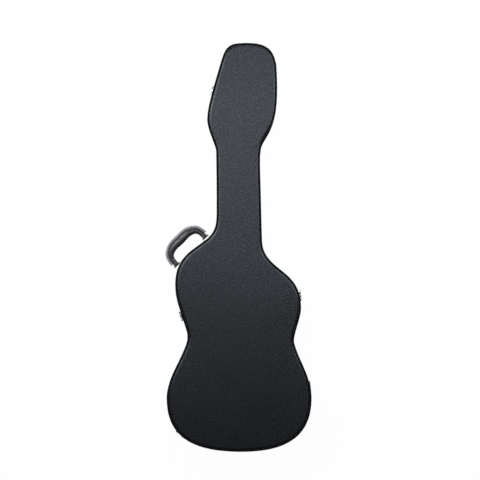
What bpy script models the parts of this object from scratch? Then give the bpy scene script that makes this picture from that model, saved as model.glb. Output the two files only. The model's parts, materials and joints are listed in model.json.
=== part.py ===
"""Hard case for an electric guitar, lying on its back with the lid shut.

The case has the guitar's outline. Its base and its lid are plywood trays covered in grained vinyl, with a
sewn binding round each edge. Three hinges stand on the right side, on the one line that touches head, upper
bout and lower bout, and three draw latches and the carrying handle stand on the left.
X points to the hinge side, Y to the head end and Z up; the floor is at Z = 0, under the middle of the case.
"""

import math
from collections import namedtuple

import bmesh
import bpy
from mathutils import Matrix, Vector

# Overall sizes in metres; a station is measured from the bottom end of the case, a drop from the head end
CASE_LENGTH = 1.050
CASE_DEPTH = 0.104
BASE_DEPTH = 0.066

LOWER_BOUT_WIDTH = 0.371
LOWER_BOUT_SHIFT = 0.000
LOWER_BOUT_STATION = 0.1365
WAIST_WIDTH = 0.2725
WAIST_SHIFT = 0.0042
WAIST_STATION_RIGHT = 0.286
WAIST_STATION_LEFT = 0.293
UPPER_BOUT_WIDTH = 0.322
UPPER_BOUT_SHIFT = -0.0025
UPPER_BOUT_STATION_RIGHT = 0.371
UPPER_BOUT_STATION_LEFT = 0.429
NECK_FOOT_WIDTH = 0.115
NECK_FOOT_SHIFT = 0.0005
NECK_FOOT_STATION_RIGHT = 0.547
NECK_FOOT_STATION_LEFT = 0.611
FLARE_DRAW_LEFT = 0.758
FLARE_RISE_LEFT = 0.642
FLARE_HEADING_LEFT = 39.0
NECK_TOP_WIDTH = 0.111
NECK_TOP_SHIFT = -0.0025
NECK_TOP_DROP_RIGHT = 0.298
NECK_TOP_DROP_LEFT = 0.285
HEAD_WIDTH = 0.178
HEAD_SHIFT = 0.008
HEAD_DROP_RIGHT = 0.120
HEAD_DROP_LEFT = 0.192
HEAD_CORNER_RISE = 0.140
HEAD_CORNER_DRAW = 0.034
HEAD_CORNER_HEADING = 75.5
HEAD_CROWN_SHIFT = 0.020
TAIL_CROWN_SHIFT = 0.009

# How far the outline holds its heading before and after each knot, clockwise from the crown of the head
HEAD_CROWN_REACH = (0.041, 0.075)
HEAD_REACH_RIGHT = (0.083, 0.130)
NECK_TOP_REACH_RIGHT = (0.076, 0.040)
NECK_FOOT_REACH_RIGHT = (0.020, 0.086)
UPPER_BOUT_REACH_RIGHT = (0.103, 0.028)
WAIST_REACH_RIGHT = (0.020, 0.031)
LOWER_BOUT_REACH_RIGHT = (0.062, 0.089)
TAIL_CROWN_REACH = (0.122, 0.103)
LOWER_BOUT_REACH_LEFT = (0.115, 0.059)
WAIST_REACH_LEFT = (0.035, 0.034)
UPPER_BOUT_REACH_LEFT = (0.058, 0.072)
FLARE_REACH_LEFT = (0.0446, 0.032)
NECK_FOOT_REACH_LEFT = (0.020, 0.040)
NECK_TOP_REACH_LEFT = (0.040, 0.035)
HEAD_REACH_LEFT = (0.040, 0.033)
HEAD_CORNER_REACH = (0.020, 0.050)

# How finely the outline is cut into flats
FACET_TURN = math.radians(14.0)
FACET_LENGTH = 0.120
CURVE_STEPS = 48

# Walls and coverings
GAP = 0.0003
WELD_DISTANCE = 0.00001
BINDING_RADIUS = 0.0026
BINDING_SET_BACK = 0.0004
COVER_INSET = 0.0020
COVER_THICKNESS = 0.0010
COVER_EDGE_RADIUS = 0.0008
RIM_THICKNESS = 0.0050
PARTING_GAP = 0.0004
LIP_THICKNESS = 0.0035
LIP_CLEARANCE = 0.0006
LIP_HEIGHT = 0.0100
LINING_THICKNESS = 0.0060
LID_LINING_THICKNESS = 0.0080
WALL_LINING_THICKNESS = 0.0025
WALL_LINING_CLEARANCE = 0.0010
PADDING_THICKNESS = 0.0100
PADDING_DROP = 0.0080
PADDING_JOINT = 0.0006
PADDING_FOOT_LEAD = 0.0100

# Where the padding round the body is divided, measured from the tail
PAD_HORN_RIGHT_STATION = 0.442
PAD_HORN_LEFT_STATION = 0.369
PAD_BOUT_TOP_STATION = 0.1935
PAD_BOUT_FOOT_STATION = 0.0735

# Neck supports and accessory box
CRADLE_DROP = 0.319
CRADLE_LENGTH = 0.036
CRADLE_HEIGHT = 0.040
CRADLE_NOTCH_RADIUS = 0.0240
CRADLE_NOTCH_DEPTH = 0.0120
BOX_FOOT_STATION = 0.586
BOX_CRADLE_SPACE = 0.021
BOX_HEIGHT = 0.024
BOX_WALL = 0.0040
SHELF_WIDTH = 0.0180
BOARD_THICKNESS = 0.0036
PULL_TAB_LENGTH = 0.022
PULL_TAB_WIDTH = 0.014
PULL_TAB_THICKNESS = 0.0012

# Hinges
HINGE_AXIS_OFFSET = 0.0030
KNUCKLE_RADIUS = 0.0026
KNUCKLE_BORE_RADIUS = 0.0014
KNUCKLE_PLAY = 0.0004
PIN_CLEARANCE = 0.0003
PIN_HEAD_RADIUS = 0.0019
PIN_HEAD_LENGTH = 0.0010
BASE_KNUCKLE_LENGTH = 0.0100
LID_KNUCKLE_LENGTH = 0.0072
LEAF_WIDTH = 0.0260
LEAF_HEIGHT = 0.0210
LEAF_THICKNESS = 0.0012
LEAF_DROP = 0.0045
HINGE_LINE_STEPS = 8

# Latches, in a frame on the wall at the parting line: across, out of the wall and up
LATCH_HEAD_DROP = 0.118
LATCH_WAIST_STATION = 0.347
LATCH_TAIL_STATION = 0.043
PLATE_WIDTH = 0.0300
PLATE_HEIGHT = 0.0320
PLATE_THICKNESS = 0.0015
PLATE_DROP = 0.0025
EAR_THICKNESS = 0.0016
EAR_HEIGHT = 0.0110
LEVER_PIVOT_OUT = 0.0070
LEVER_PIVOT_DROP = 0.0100
LEVER_PIN_RADIUS = 0.0012
LEVER_PIN_HEAD = 0.0006
LEVER_WIDTH = 0.0200
LEVER_CHEEK = 0.0016
LEVER_EYE_RADIUS = 0.0027
LEVER_WEB = 0.0016
LEVER_WEB_DROP = 0.0250
LEVER_LENGTH = 0.0290
LEVER_LIP = 0.0010
BAIL_PIVOT_DROP = 0.0070
BAIL_PIVOT_BACK = 0.0026
BAIL_EYE_WALL = 0.0007
BAIL_WIRE_RADIUS = 0.0012
BAIL_REACH = 0.0245
BAIL_LEAN = 0.0008
SIDE_PLAY = 0.0005
KEEPER_WIDTH = 0.0240
KEEPER_HEIGHT = 0.0180
KEEPER_RISE = 0.0035
KEEPER_LIP_RISE = 0.0055
KEEPER_LIP_THICKNESS = 0.0020
KEEPER_LIP_WIDTH = 0.0100
KEEPER_PLAY = 0.0005
KEEPER_HOOK_HEIGHT = 0.0016
KEEPER_HOOK_THICKNESS = 0.0012

# Handle
HANDLE_STATION_UPPER = 0.5459
HANDLE_STATION_LOWER = 0.4767
HANDLE_HEIGHT = 0.042
HANDLE_STANDOFF = 0.0099
GRIP_REACH = 0.0393
GRIP_RADIUS = 0.0100
COLLAR_LENGTH = 0.0052
COLLAR_RADIUS = 0.0068
LEG_IN = 0.0009
LEG_RISE = 0.0085
LEG_RADIUS = 0.0060
KNEE_IN = 0.0026
KNEE_RISE = 0.0178
KNEE_RADIUS = 0.0058
SHOULDER_IN = 0.0096
SHOULDER_RISE = 0.0285
SHOULDER_RADIUS = 0.0063
HAND_IN = 0.0267
HAND_DROP = 0.0004
HAND_RADIUS = 0.0088
GRIP_STEPS = 3
END_WIDTH = 0.0150
END_THICKNESS = 0.0048
END_DEPTH = 0.0080
FLANGE_HEIGHT = 0.0055
FLANGE_THICKNESS = 0.0026
BRACKET_LENGTH = 0.0360
BRACKET_HEIGHT = 0.0220
BRACKET_EAR_WIDTH = 0.0080
BRACKET_EAR_THICKNESS = 0.0016
BRACKET_EAR_LENGTH = 0.0032
BRACKET_PIN_RADIUS = 0.0014
BRACKET_PLAY = 0.0004

# Rivets
RIVET_RADIUS = 0.0024
RIVET_TOP_RADIUS = 0.0013
RIVET_HEIGHT = 0.0012
RIVET_ROOT = 0.0006
RIVET_EDGE = 0.0045

ROUND_SIDES = 12
SMALL_SIDES = 8

# What follows is worked out from the sizes above
TAIL_Y = -CASE_LENGTH / 2
HEAD_STATION_RIGHT = CASE_LENGTH - HEAD_DROP_RIGHT
HEAD_STATION_LEFT = CASE_LENGTH - HEAD_DROP_LEFT
NECK_TOP_STATION_RIGHT = CASE_LENGTH - NECK_TOP_DROP_RIGHT
NECK_TOP_STATION_LEFT = CASE_LENGTH - NECK_TOP_DROP_LEFT
CRADLE_STATION = CASE_LENGTH - CRADLE_DROP
LATCH_STATIONS = {
    "head": CASE_LENGTH - LATCH_HEAD_DROP, "waist": LATCH_WAIST_STATION, "tail": LATCH_TAIL_STATION
}
RIM_OUTER = COVER_INSET + COVER_THICKNESS + GAP
RIM_INNER = RIM_OUTER + RIM_THICKNESS
LIP_OUTER = RIM_INNER + LIP_CLEARANCE
LIP_INNER = LIP_OUTER + LIP_THICKNESS
PADDING_OUTER = LIP_INNER + GAP
PADDING_INNER = PADDING_OUTER + PADDING_THICKNESS
PANEL_INSET = 2 * BINDING_RADIUS + GAP
EDGE_DEPTH = BINDING_SET_BACK + 2 * BINDING_RADIUS
BASE_RIM_FOOT = EDGE_DEPTH + GAP
BASE_RIM_TOP = BASE_DEPTH - PARTING_GAP / 2
LID_RIM_FOOT = BASE_DEPTH + PARTING_GAP / 2
LID_RIM_TOP = CASE_DEPTH - EDGE_DEPTH - GAP
LINING_TOP = BASE_RIM_FOOT + LINING_THICKNESS
LID_LINING_FOOT = LID_RIM_TOP - LID_LINING_THICKNESS
FURNITURE_FOOT = LINING_TOP + GAP

Knot = namedtuple("Knot", "x y heading reach_in reach_out")


def start_scene():
    """Empties the scene and makes the collections for the parts and for the tools that shape them."""
    for old in list(bpy.data.objects):
        bpy.data.objects.remove(old, do_unlink=True)
    parts = bpy.data.collections.new("guitar_case")
    tools = bpy.data.collections.new("cutters")
    bpy.context.scene.collection.children.link(parts)
    bpy.context.scene.collection.children.link(tools)
    return parts, tools


PARTS, TOOLS = start_scene()


def material(name, color, roughness, metallic=0.0):
    made = bpy.data.materials.new(name)
    made.use_nodes = True
    shader = made.node_tree.nodes["Principled BSDF"]
    shader.inputs["Base Color"].default_value = (*color, 1.0)
    shader.inputs["Roughness"].default_value = roughness
    shader.inputs["Metallic"].default_value = metallic
    return made


VINYL = material("black_vinyl", (0.030, 0.032, 0.036), 0.50)
BINDING = material("black_binding", (0.012, 0.012, 0.013), 0.55)
PLYWOOD = material("plywood", (0.45, 0.32, 0.19), 0.70)
PLUSH = material("black_plush", (0.018, 0.018, 0.021), 0.95)
CHROME = material("chrome_plate", (0.78, 0.78, 0.80), 0.15, 1.0)
STEEL = material("steel_pin", (0.56, 0.56, 0.58), 0.30, 1.0)
GRIP = material("moulded_grip", (0.022, 0.023, 0.026), 0.38)


# The outline

def side_x(width, shift, side):
    return shift + side * width / 2


def outline_knots():
    """The knots of the outline, clockwise from the crown of the head."""
    down, up = -90.0, 90.0

    def right(width, shift, station, reach):
        return Knot(side_x(width, shift, 1), TAIL_Y + station, down, *reach)

    def left(width, shift, station, reach):
        return Knot(side_x(width, shift, -1), TAIL_Y + station, up, *reach)

    bout_left = left(UPPER_BOUT_WIDTH, UPPER_BOUT_SHIFT, UPPER_BOUT_STATION_LEFT, UPPER_BOUT_REACH_LEFT)
    foot_left = left(NECK_FOOT_WIDTH, NECK_FOOT_SHIFT, NECK_FOOT_STATION_LEFT, NECK_FOOT_REACH_LEFT)
    flare_x = bout_left.x + FLARE_DRAW_LEFT * (foot_left.x - bout_left.x)
    flare_y = bout_left.y + FLARE_RISE_LEFT * (foot_left.y - bout_left.y)
    head_left = left(HEAD_WIDTH, HEAD_SHIFT, HEAD_STATION_LEFT, HEAD_REACH_LEFT)
    corner_x = head_left.x + HEAD_CORNER_DRAW
    corner_y = head_left.y + HEAD_CORNER_RISE
    return [
        Knot(HEAD_CROWN_SHIFT, TAIL_Y + CASE_LENGTH, 0.0, *HEAD_CROWN_REACH),
        right(HEAD_WIDTH, HEAD_SHIFT, HEAD_STATION_RIGHT, HEAD_REACH_RIGHT),
        right(NECK_TOP_WIDTH, NECK_TOP_SHIFT, NECK_TOP_STATION_RIGHT, NECK_TOP_REACH_RIGHT),
        right(NECK_FOOT_WIDTH, NECK_FOOT_SHIFT, NECK_FOOT_STATION_RIGHT, NECK_FOOT_REACH_RIGHT),
        right(UPPER_BOUT_WIDTH, UPPER_BOUT_SHIFT, UPPER_BOUT_STATION_RIGHT, UPPER_BOUT_REACH_RIGHT),
        right(WAIST_WIDTH, WAIST_SHIFT, WAIST_STATION_RIGHT, WAIST_REACH_RIGHT),
        right(LOWER_BOUT_WIDTH, LOWER_BOUT_SHIFT, LOWER_BOUT_STATION, LOWER_BOUT_REACH_RIGHT),
        Knot(TAIL_CROWN_SHIFT, TAIL_Y, 180.0, *TAIL_CROWN_REACH),
        left(LOWER_BOUT_WIDTH, LOWER_BOUT_SHIFT, LOWER_BOUT_STATION, LOWER_BOUT_REACH_LEFT),
        left(WAIST_WIDTH, WAIST_SHIFT, WAIST_STATION_LEFT, WAIST_REACH_LEFT),
        bout_left,
        Knot(flare_x, flare_y, FLARE_HEADING_LEFT, *FLARE_REACH_LEFT),
        foot_left,
        left(NECK_TOP_WIDTH, NECK_TOP_SHIFT, NECK_TOP_STATION_LEFT, NECK_TOP_REACH_LEFT),
        head_left,
        Knot(corner_x, corner_y, HEAD_CORNER_HEADING, *HEAD_CORNER_REACH),
    ]


def heading_vector(degrees):
    return Vector((math.cos(math.radians(degrees)), math.sin(math.radians(degrees))))


def curve_between(here, there):
    """Close points along the Bezier curve from one knot to the next."""
    start = Vector((here.x, here.y))
    end = Vector((there.x, there.y))
    leave = start + heading_vector(here.heading) * here.reach_out
    arrive = end - heading_vector(there.heading) * there.reach_in
    points = []
    for step in range(CURVE_STEPS + 1):
        t = step / CURVE_STEPS
        s = 1 - t
        points.append(start * s**3 + leave * (3 * s * s * t) + arrive * (3 * s * t * t) + end * t**3)
    return points


def facets_along(points):
    """Fewer points along a curve, close together where it turns and far apart where it runs straight."""
    cost = [0.0]
    for i in range(1, len(points)):
        run = points[i] - points[i - 1]
        turn = abs(run.angle_signed(points[i + 1] - points[i])) if i + 1 < len(points) else 0.0
        cost.append(cost[-1] + turn / FACET_TURN + run.length / FACET_LENGTH)
    facets = max(1, round(cost[-1]))
    picked = []
    i = 0
    for facet in range(facets):
        wanted = cost[-1] * facet / facets
        while cost[i + 1] < wanted:
            i += 1
        picked.append(points[i].lerp(points[i + 1], (wanted - cost[i]) / (cost[i + 1] - cost[i])))
    return picked


def outline_loop():
    knots = outline_knots()
    loop = []
    for here, there in zip(knots, knots[1:] + knots[:1]):
        loop += facets_along(curve_between(here, there))
    return loop


OUTLINE = outline_loop()


def outward_normals(points):
    """The offset of each point, per unit of distance, that keeps the walls on both of its sides parallel."""
    offsets = []
    for i, here in enumerate(points):
        before = (here - points[i - 1]).normalized()
        after = (points[(i + 1) % len(points)] - here).normalized()
        normal_before = Vector((-before.y, before.x))
        normal_after = Vector((-after.y, after.x))
        middle = (normal_before + normal_after).normalized()
        offsets.append(middle / middle.dot(normal_after))
    return offsets


NORMALS = outward_normals(OUTLINE)


def inset(distance):
    """The outline moved in by a distance, or out if it is negative."""
    return [point - normal * distance for point, normal in zip(OUTLINE, NORMALS)]


def place_at(side, y):
    """Where the wall of one side crosses a Y value: facet number and share, as one number."""
    count = len(OUTLINE)
    for i in range(count):
        a, b = OUTLINE[i], OUTLINE[(i + 1) % count]
        falling = a.y > b.y
        if falling == (side > 0) and min(a.y, b.y) <= y <= max(a.y, b.y):
            return i + (y - a.y) / (b.y - a.y)
    raise ValueError("the outline doesn't reach that far")


def loop_point(loop, place):
    i = math.floor(place)
    return loop[i % len(loop)].lerp(loop[(i + 1) % len(loop)], place - i)


def walk(place, distance):
    """The place that lies a distance along the outline from another, clockwise if positive."""
    step = 1 if distance > 0 else -1
    left = abs(distance)
    while True:
        edge = math.floor(place) + 1 if step > 0 else math.ceil(place) - 1
        length = (loop_point(OUTLINE, edge) - loop_point(OUTLINE, place)).length
        if length >= left:
            return place + (edge - place) * left / length
        left -= length
        place = edge


def stretch(start, end, distance):
    """The points of the moved-in outline from one place clockwise to another."""
    loop = inset(distance)
    if end < start:
        end += len(loop)
    corners = range(math.floor(start) + 1, math.ceil(end))
    return [loop_point(loop, place) for place in (start, *corners, end)]


# Building blocks

def add(solid, finish=None):
    """Puts a solid among the parts, or among the tools if it has no finish of its own."""
    if finish is None:
        TOOLS.objects.link(solid)
        solid.hide_render = True
        solid.display_type = "WIRE"
    else:
        PARTS.objects.link(solid)
        solid.data.materials.append(finish)
    return solid


def profile_solid(name, loops, thickness, frame, finish=None):
    """A flat solid with the given loops as its edges, centred on the frame's XY plane."""
    curve = bpy.data.curves.new(name, "CURVE")
    curve.dimensions = "2D"
    curve.fill_mode = "BOTH"
    curve.extrude = thickness / 2
    for loop in loops:
        spline = curve.splines.new("POLY")
        spline.points.add(len(loop) - 1)
        spline.use_cyclic_u = True
        for point, place in zip(spline.points, loop):
            point.co = (place[0], place[1], 0.0, 1.0)
    solid = bpy.data.objects.new(name, curve)
    solid.matrix_world = frame
    return add(solid, finish)


def flat_solid(name, loops, low, high, finish=None):
    """A solid between two heights."""
    return profile_solid(name, loops, high - low, Matrix.Translation((0, 0, (low + high) / 2)), finish)


def ring(name, outer, inner, low, high, finish):
    return flat_solid(name, [inset(outer), inset(inner)], low, high, finish)


def strip(name, start, end, outer, inner, low, high, finish=None):
    """A solid that follows the wall from one place clockwise to another."""
    loop = stretch(start, end, outer) + stretch(start, end, inner)[::-1]
    return flat_solid(name, [loop], low, high, finish)


def mesh_solid(name, work, frame, finish=None):
    mesh = bpy.data.meshes.new(name)
    work.to_mesh(mesh)
    work.free()
    solid = bpy.data.objects.new(name, mesh)
    solid.matrix_world = frame
    return add(solid, finish)


def box(name, low, high, frame, finish=None):
    """A block between two corners of a frame."""
    low, high = Vector(low), Vector(high)
    work = bmesh.new()
    size = Matrix.Diagonal((*(high - low), 1.0))
    bmesh.ops.create_cube(work, size=1.0, matrix=Matrix.Translation((low + high) / 2) @ size)
    return mesh_solid(name, work, frame, finish)


def rod(name, radius, low, high, frame, finish=None, sides=SMALL_SIDES, out=0.0, up=0.0):
    """A round bar along the frame's X axis, from one X value to another."""
    work = bmesh.new()
    turn = Matrix.Translation(((low + high) / 2, out, up)) @ Matrix.Rotation(math.pi / 2, 4, "Y")
    bmesh.ops.create_cone(
        work, cap_ends=True, segments=sides, radius1=radius, radius2=radius, depth=high - low, matrix=turn
    )
    return mesh_solid(name, work, frame, finish)


def wire(name, points, radius, frame, finish, radii=None, closed=False, resolution=2):
    """A round tube along points."""
    curve = bpy.data.curves.new(name, "CURVE")
    curve.dimensions = "3D"
    curve.fill_mode = "FULL"
    curve.twist_mode = "Z_UP"
    curve.bevel_depth = radius
    curve.bevel_resolution = resolution
    curve.use_fill_caps = not closed
    spline = curve.splines.new("POLY")
    spline.points.add(len(points) - 1)
    spline.use_cyclic_u = closed
    for i, (point, place) in enumerate(zip(spline.points, points)):
        point.co = (*place, 1.0)
        point.radius = radii[i] / radius if radii else 1.0
    solid = bpy.data.objects.new(name, curve)
    solid.matrix_world = frame
    return add(solid, finish)


def as_mesh(solid):
    """Turns a curve into a mesh with its caps welded on, for cutting and joining."""
    name = solid.name
    bpy.context.view_layer.update()
    evaluated = solid.evaluated_get(bpy.context.evaluated_depsgraph_get())
    mesh = bpy.data.meshes.new_from_object(evaluated)
    work = bmesh.new()
    work.from_mesh(mesh)
    bmesh.ops.remove_doubles(work, verts=work.verts, dist=WELD_DISTANCE)
    work.to_mesh(mesh)
    work.free()
    made = bpy.data.objects.new(name, mesh)
    made.matrix_world = solid.matrix_world
    made.hide_render = solid.hide_render
    made.display_type = solid.display_type
    for home in solid.users_collection:
        home.objects.link(made)
    bpy.data.objects.remove(solid)
    made.name = name
    return made


def shape(target, tool, operation):
    """Joins a tool to a solid with UNION, or cuts it out with DIFFERENCE."""
    if tool.type == "CURVE":
        tool = as_mesh(tool)
    step = target.modifiers.new(tool.name, "BOOLEAN")
    step.operation = operation
    step.object = tool
    return target


def rivet(plate, frame):
    """Upsets a rivet head on a plate, on the XY plane of a frame."""
    work = bmesh.new()
    bmesh.ops.create_cone(
        work, cap_ends=True, segments=SMALL_SIDES, radius1=RIVET_RADIUS, radius2=RIVET_TOP_RADIUS,
        depth=RIVET_HEIGHT + RIVET_ROOT, matrix=Matrix.Translation((0, 0, (RIVET_HEIGHT - RIVET_ROOT) / 2)),
    )
    shape(plate, mesh_solid(f"{plate.name}_rivet", work, frame), "UNION")


def round_edges(solid, width, segments=1):
    """Welds a solid's caps on and rounds its sharp edges."""
    joined = solid.modifiers.new("weld", "WELD")
    joined.merge_threshold = WELD_DISTANCE
    soft = solid.modifiers.new("round", "BEVEL")
    soft.width = width
    soft.segments = segments
    soft.limit_method = "ANGLE"
    soft.angle_limit = math.radians(50)
    return solid


def carrier(name, frame):
    """An empty on a joint's axis, which carries the pieces that turn with it."""
    empty = bpy.data.objects.new(name, None)
    empty.matrix_world = frame
    empty.empty_display_size = 0.05
    PARTS.objects.link(empty)
    return empty


def carry(empty, frame, *pieces):
    for piece in pieces:
        piece.parent = empty
        piece.matrix_parent_inverse = frame.inverted()


def frame_at(origin, across, out, up=Vector((0, 0, 1))):
    """A frame with its X axis across the wall, its Y axis out of it and its Z axis up."""
    turn = Matrix((across, out, up)).transposed().to_4x4()
    return Matrix.Translation(origin) @ turn


def wall_frame(place, distance, height):
    """A frame on the moved-in outline at a place, level with its facet."""
    loop = inset(distance)
    i = math.floor(place)
    along = (loop[(i + 1) % len(loop)] - loop[i % len(loop)]).normalized()
    point = loop_point(loop, place)
    across = Vector((along.x, along.y, 0))
    out = Vector((-along.y, along.x, 0))
    return frame_at(Vector((point.x, point.y, height)), across, out)


def wall_out(frame, across, distance):
    """How far out the moved-in outline lies in a frame, at a distance across it."""
    into = frame.inverted()
    loop = [into @ Vector((p.x, p.y, frame.translation.z)) for p in inset(distance)]
    crossings = []
    for i, here in enumerate(loop):
        there = loop[(i + 1) % len(loop)]
        if (here.x - across) * (there.x - across) <= 0 and here.x != there.x:
            crossings.append(here.y + (there.y - here.y) * (across - here.x) / (there.x - here.x))
    return max(crossings)


def facing_out(frame):
    """The same place with its Z axis out of the wall, for a rivet."""
    return frame @ Matrix.Rotation(-math.pi / 2, 4, "X")


# Base and lid

def make_edge(name, height):
    path = [(p.x, p.y, height) for p in inset(BINDING_RADIUS)]
    return wire(name, path, BINDING_RADIUS, Matrix(), BINDING, closed=True, resolution=1)


def make_base():
    cover = flat_solid("base_bottom_cover", [inset(PANEL_INSET)], 0.0, COVER_THICKNESS, VINYL)
    round_edges(cover, COVER_EDGE_RADIUS)
    flat_solid("base_panel", [inset(PANEL_INSET)], COVER_THICKNESS + GAP, EDGE_DEPTH, PLYWOOD)
    make_edge("base_binding", BINDING_SET_BACK + BINDING_RADIUS)
    ring("base_side_cover", COVER_INSET, COVER_INSET + COVER_THICKNESS, BASE_RIM_FOOT, BASE_RIM_TOP, VINYL)
    ring("base_rim", RIM_OUTER, RIM_INNER, BASE_RIM_FOOT, BASE_RIM_TOP, PLYWOOD)
    ring("base_lip", LIP_OUTER, LIP_INNER, BASE_RIM_FOOT, BASE_DEPTH + LIP_HEIGHT, PLUSH)
    flat_solid("floor_lining", [inset(PADDING_OUTER)], BASE_RIM_FOOT, LINING_TOP, PLUSH)


BODY_PADS = ("horn_right", "waist_right", "bout_right", "tail", "bout_left", "waist_left", "horn_left")


def make_padding():
    """Foam strips along the inside of the wall: round the body, beside the neck and round the head."""
    low, high = FURNITURE_FOOT, BASE_DEPTH - PADDING_DROP
    foot = TAIL_Y + BOX_FOOT_STATION - PADDING_FOOT_LEAD
    top = TAIL_Y + CRADLE_STATION + CRADLE_LENGTH
    right_foot, left_foot = place_at(1, foot), place_at(-1, foot)
    right_top, left_top = place_at(1, top), place_at(-1, top)

    def pad(name, start, end):
        return strip(
            name, walk(start, PADDING_JOINT / 2), walk(end, -PADDING_JOINT / 2), PADDING_OUTER, PADDING_INNER,
            low, high, PLUSH,
        )

    bout = (PAD_BOUT_TOP_STATION, PAD_BOUT_FOOT_STATION)
    right = [place_at(1, TAIL_Y + station) for station in (PAD_HORN_RIGHT_STATION, *bout)]
    left = [place_at(-1, TAIL_Y + station) for station in (PAD_HORN_LEFT_STATION, *bout)]
    joints = [right_foot, *right, *reversed(left), left_foot]
    for name, start, end in zip(BODY_PADS, joints, joints[1:]):
        pad(f"body_padding_{name}", start, end)
    pad("neck_padding_left", left_foot, left_top)
    pad("head_padding", left_top, right_top)
    pad("neck_padding_right", right_top, right_foot)


def across_neck(low, high, distance):
    """A loop that spans the neck between two Y values, a distance in from the wall."""
    right = stretch(place_at(1, high), place_at(1, low), distance)
    left = stretch(place_at(-1, low), place_at(-1, high), distance)
    return right + left


def make_neck_furniture():
    """The neck cradle and the accessory box, whose lid hinges on a fixed shelf."""
    seat = PADDING_INNER + GAP
    cradle_foot = TAIL_Y + CRADLE_STATION
    cradle_top = cradle_foot + CRADLE_LENGTH - GAP
    high = FURNITURE_FOOT + CRADLE_HEIGHT
    loop = across_neck(cradle_foot, cradle_top, seat)
    cradle = as_mesh(flat_solid("neck_cradle", [loop], FURNITURE_FOOT, high, PLUSH))
    centre = sum((p.x for p in loop), 0.0) / len(loop)
    along = Matrix.Translation((centre, (cradle_foot + cradle_top) / 2, high - CRADLE_NOTCH_DEPTH))
    notch = rod(
        "neck_notch", CRADLE_NOTCH_RADIUS, -CRADLE_LENGTH, CRADLE_LENGTH,
        along @ Matrix.Rotation(math.pi / 2, 4, "Z"), sides=2 * ROUND_SIDES, up=CRADLE_NOTCH_RADIUS,
    )
    shape(cradle, notch, "DIFFERENCE")

    foot = TAIL_Y + BOX_FOOT_STATION
    top = cradle_foot - BOX_CRADLE_SPACE
    box_top = FURNITURE_FOOT + BOX_HEIGHT
    outer = across_neck(foot, top, seat)
    tray = as_mesh(flat_solid("accessory_box", [outer], FURNITURE_FOOT, box_top, PLUSH))
    pocket = across_neck(foot + BOX_WALL, top - BOX_WALL, seat + BOX_WALL)
    hollow = flat_solid("box_pocket", [pocket], FURNITURE_FOOT + BOX_WALL, box_top + BOX_WALL)
    shape(tray, hollow, "DIFFERENCE")

    board_low = box_top + GAP
    board_high = board_low + BOARD_THICKNESS
    right = stretch(place_at(1, top), place_at(1, foot), seat)
    left = stretch(place_at(-1, foot), place_at(-1, top), seat)
    hinge_x = min(p.x for p in right) - SHELF_WIDTH
    shelf = right + [Vector((hinge_x + GAP, foot)), Vector((hinge_x + GAP, top))]
    flat_solid("accessory_shelf", [shelf], board_low, board_high, PLUSH)
    flap = left + [Vector((hinge_x - GAP, top)), Vector((hinge_x - GAP, foot))]
    lid = flat_solid("accessory_lid", [flap], board_low, board_high, PLUSH)
    edge_x = max(p.x for p in left)
    middle = Matrix.Translation((edge_x, (foot + top) / 2, board_high + GAP))
    tab_low = (0, -PULL_TAB_WIDTH / 2, 0)
    tab_high = (PULL_TAB_LENGTH, PULL_TAB_WIDTH / 2, PULL_TAB_THICKNESS)
    tab = box("accessory_pull_tab", tab_low, tab_high, middle, BINDING)
    axis = Matrix.Translation((hinge_x, (foot + top) / 2, board_high))
    carry(carrier("accessory_lid_axis", axis), axis, lid, tab)


def make_lid():
    cover = flat_solid("lid_top_cover", [inset(PANEL_INSET)], CASE_DEPTH - COVER_THICKNESS, CASE_DEPTH, VINYL)
    round_edges(cover, COVER_EDGE_RADIUS)
    panel_low = CASE_DEPTH - EDGE_DEPTH
    lining_low = LID_RIM_FOOT + LIP_HEIGHT + WALL_LINING_CLEARANCE
    wall_lining = RIM_INNER + GAP
    return [
        cover,
        flat_solid("lid_panel", [inset(PANEL_INSET)], panel_low, CASE_DEPTH - COVER_THICKNESS - GAP, PLYWOOD),
        make_edge("lid_binding", CASE_DEPTH - BINDING_SET_BACK - BINDING_RADIUS),
        ring("lid_side_cover", COVER_INSET, COVER_INSET + COVER_THICKNESS, LID_RIM_FOOT, LID_RIM_TOP, VINYL),
        ring("lid_rim", RIM_OUTER, RIM_INNER, LID_RIM_FOOT, LID_RIM_TOP, PLYWOOD),
        flat_solid("lid_lining", [inset(wall_lining)], LID_LINING_FOOT, LID_RIM_TOP, PLUSH),
        ring(
            "lid_wall_lining", wall_lining, wall_lining + WALL_LINING_THICKNESS,
            lining_low, LID_LINING_FOOT - GAP, PLUSH,
        ),
    ]


# Hinges

def hinge_line():
    """The direction along the hinge line to the tail, its outward normal and its distance out."""
    wall = inset(COVER_INSET)
    heads = [p for p in wall if p.y > TAIL_Y + NECK_TOP_STATION_RIGHT]
    tails = [p for p in wall if p.y < TAIL_Y + WAIST_STATION_RIGHT]
    out = Vector((1.0, 0.0))
    for _ in range(HINGE_LINE_STEPS):
        head = max(heads, key=out.dot)
        tail = max(tails, key=out.dot)
        along = (tail - head).normalized()
        out = Vector((-along.y, along.x))
    return along, out, max(out.dot(p) for p in wall) + HINGE_AXIS_OFFSET


def hinge_places():
    """The wall places that lie nearest to the hinge line, one on each bulge of the outline."""
    _, out, _ = hinge_line()
    wall = inset(COVER_INSET)
    neck = TAIL_Y + NECK_TOP_STATION_RIGHT
    waist = TAIL_Y + WAIST_STATION_RIGHT
    bulges = {"head": [], "bout": [], "tail": []}
    for i, p in enumerate(wall):
        name = "head" if p.y > neck else "bout" if p.y > waist else "tail"
        bulges[name].append((out.dot(p), i))
    return {name: max(points)[1] for name, points in bulges.items()}


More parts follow.
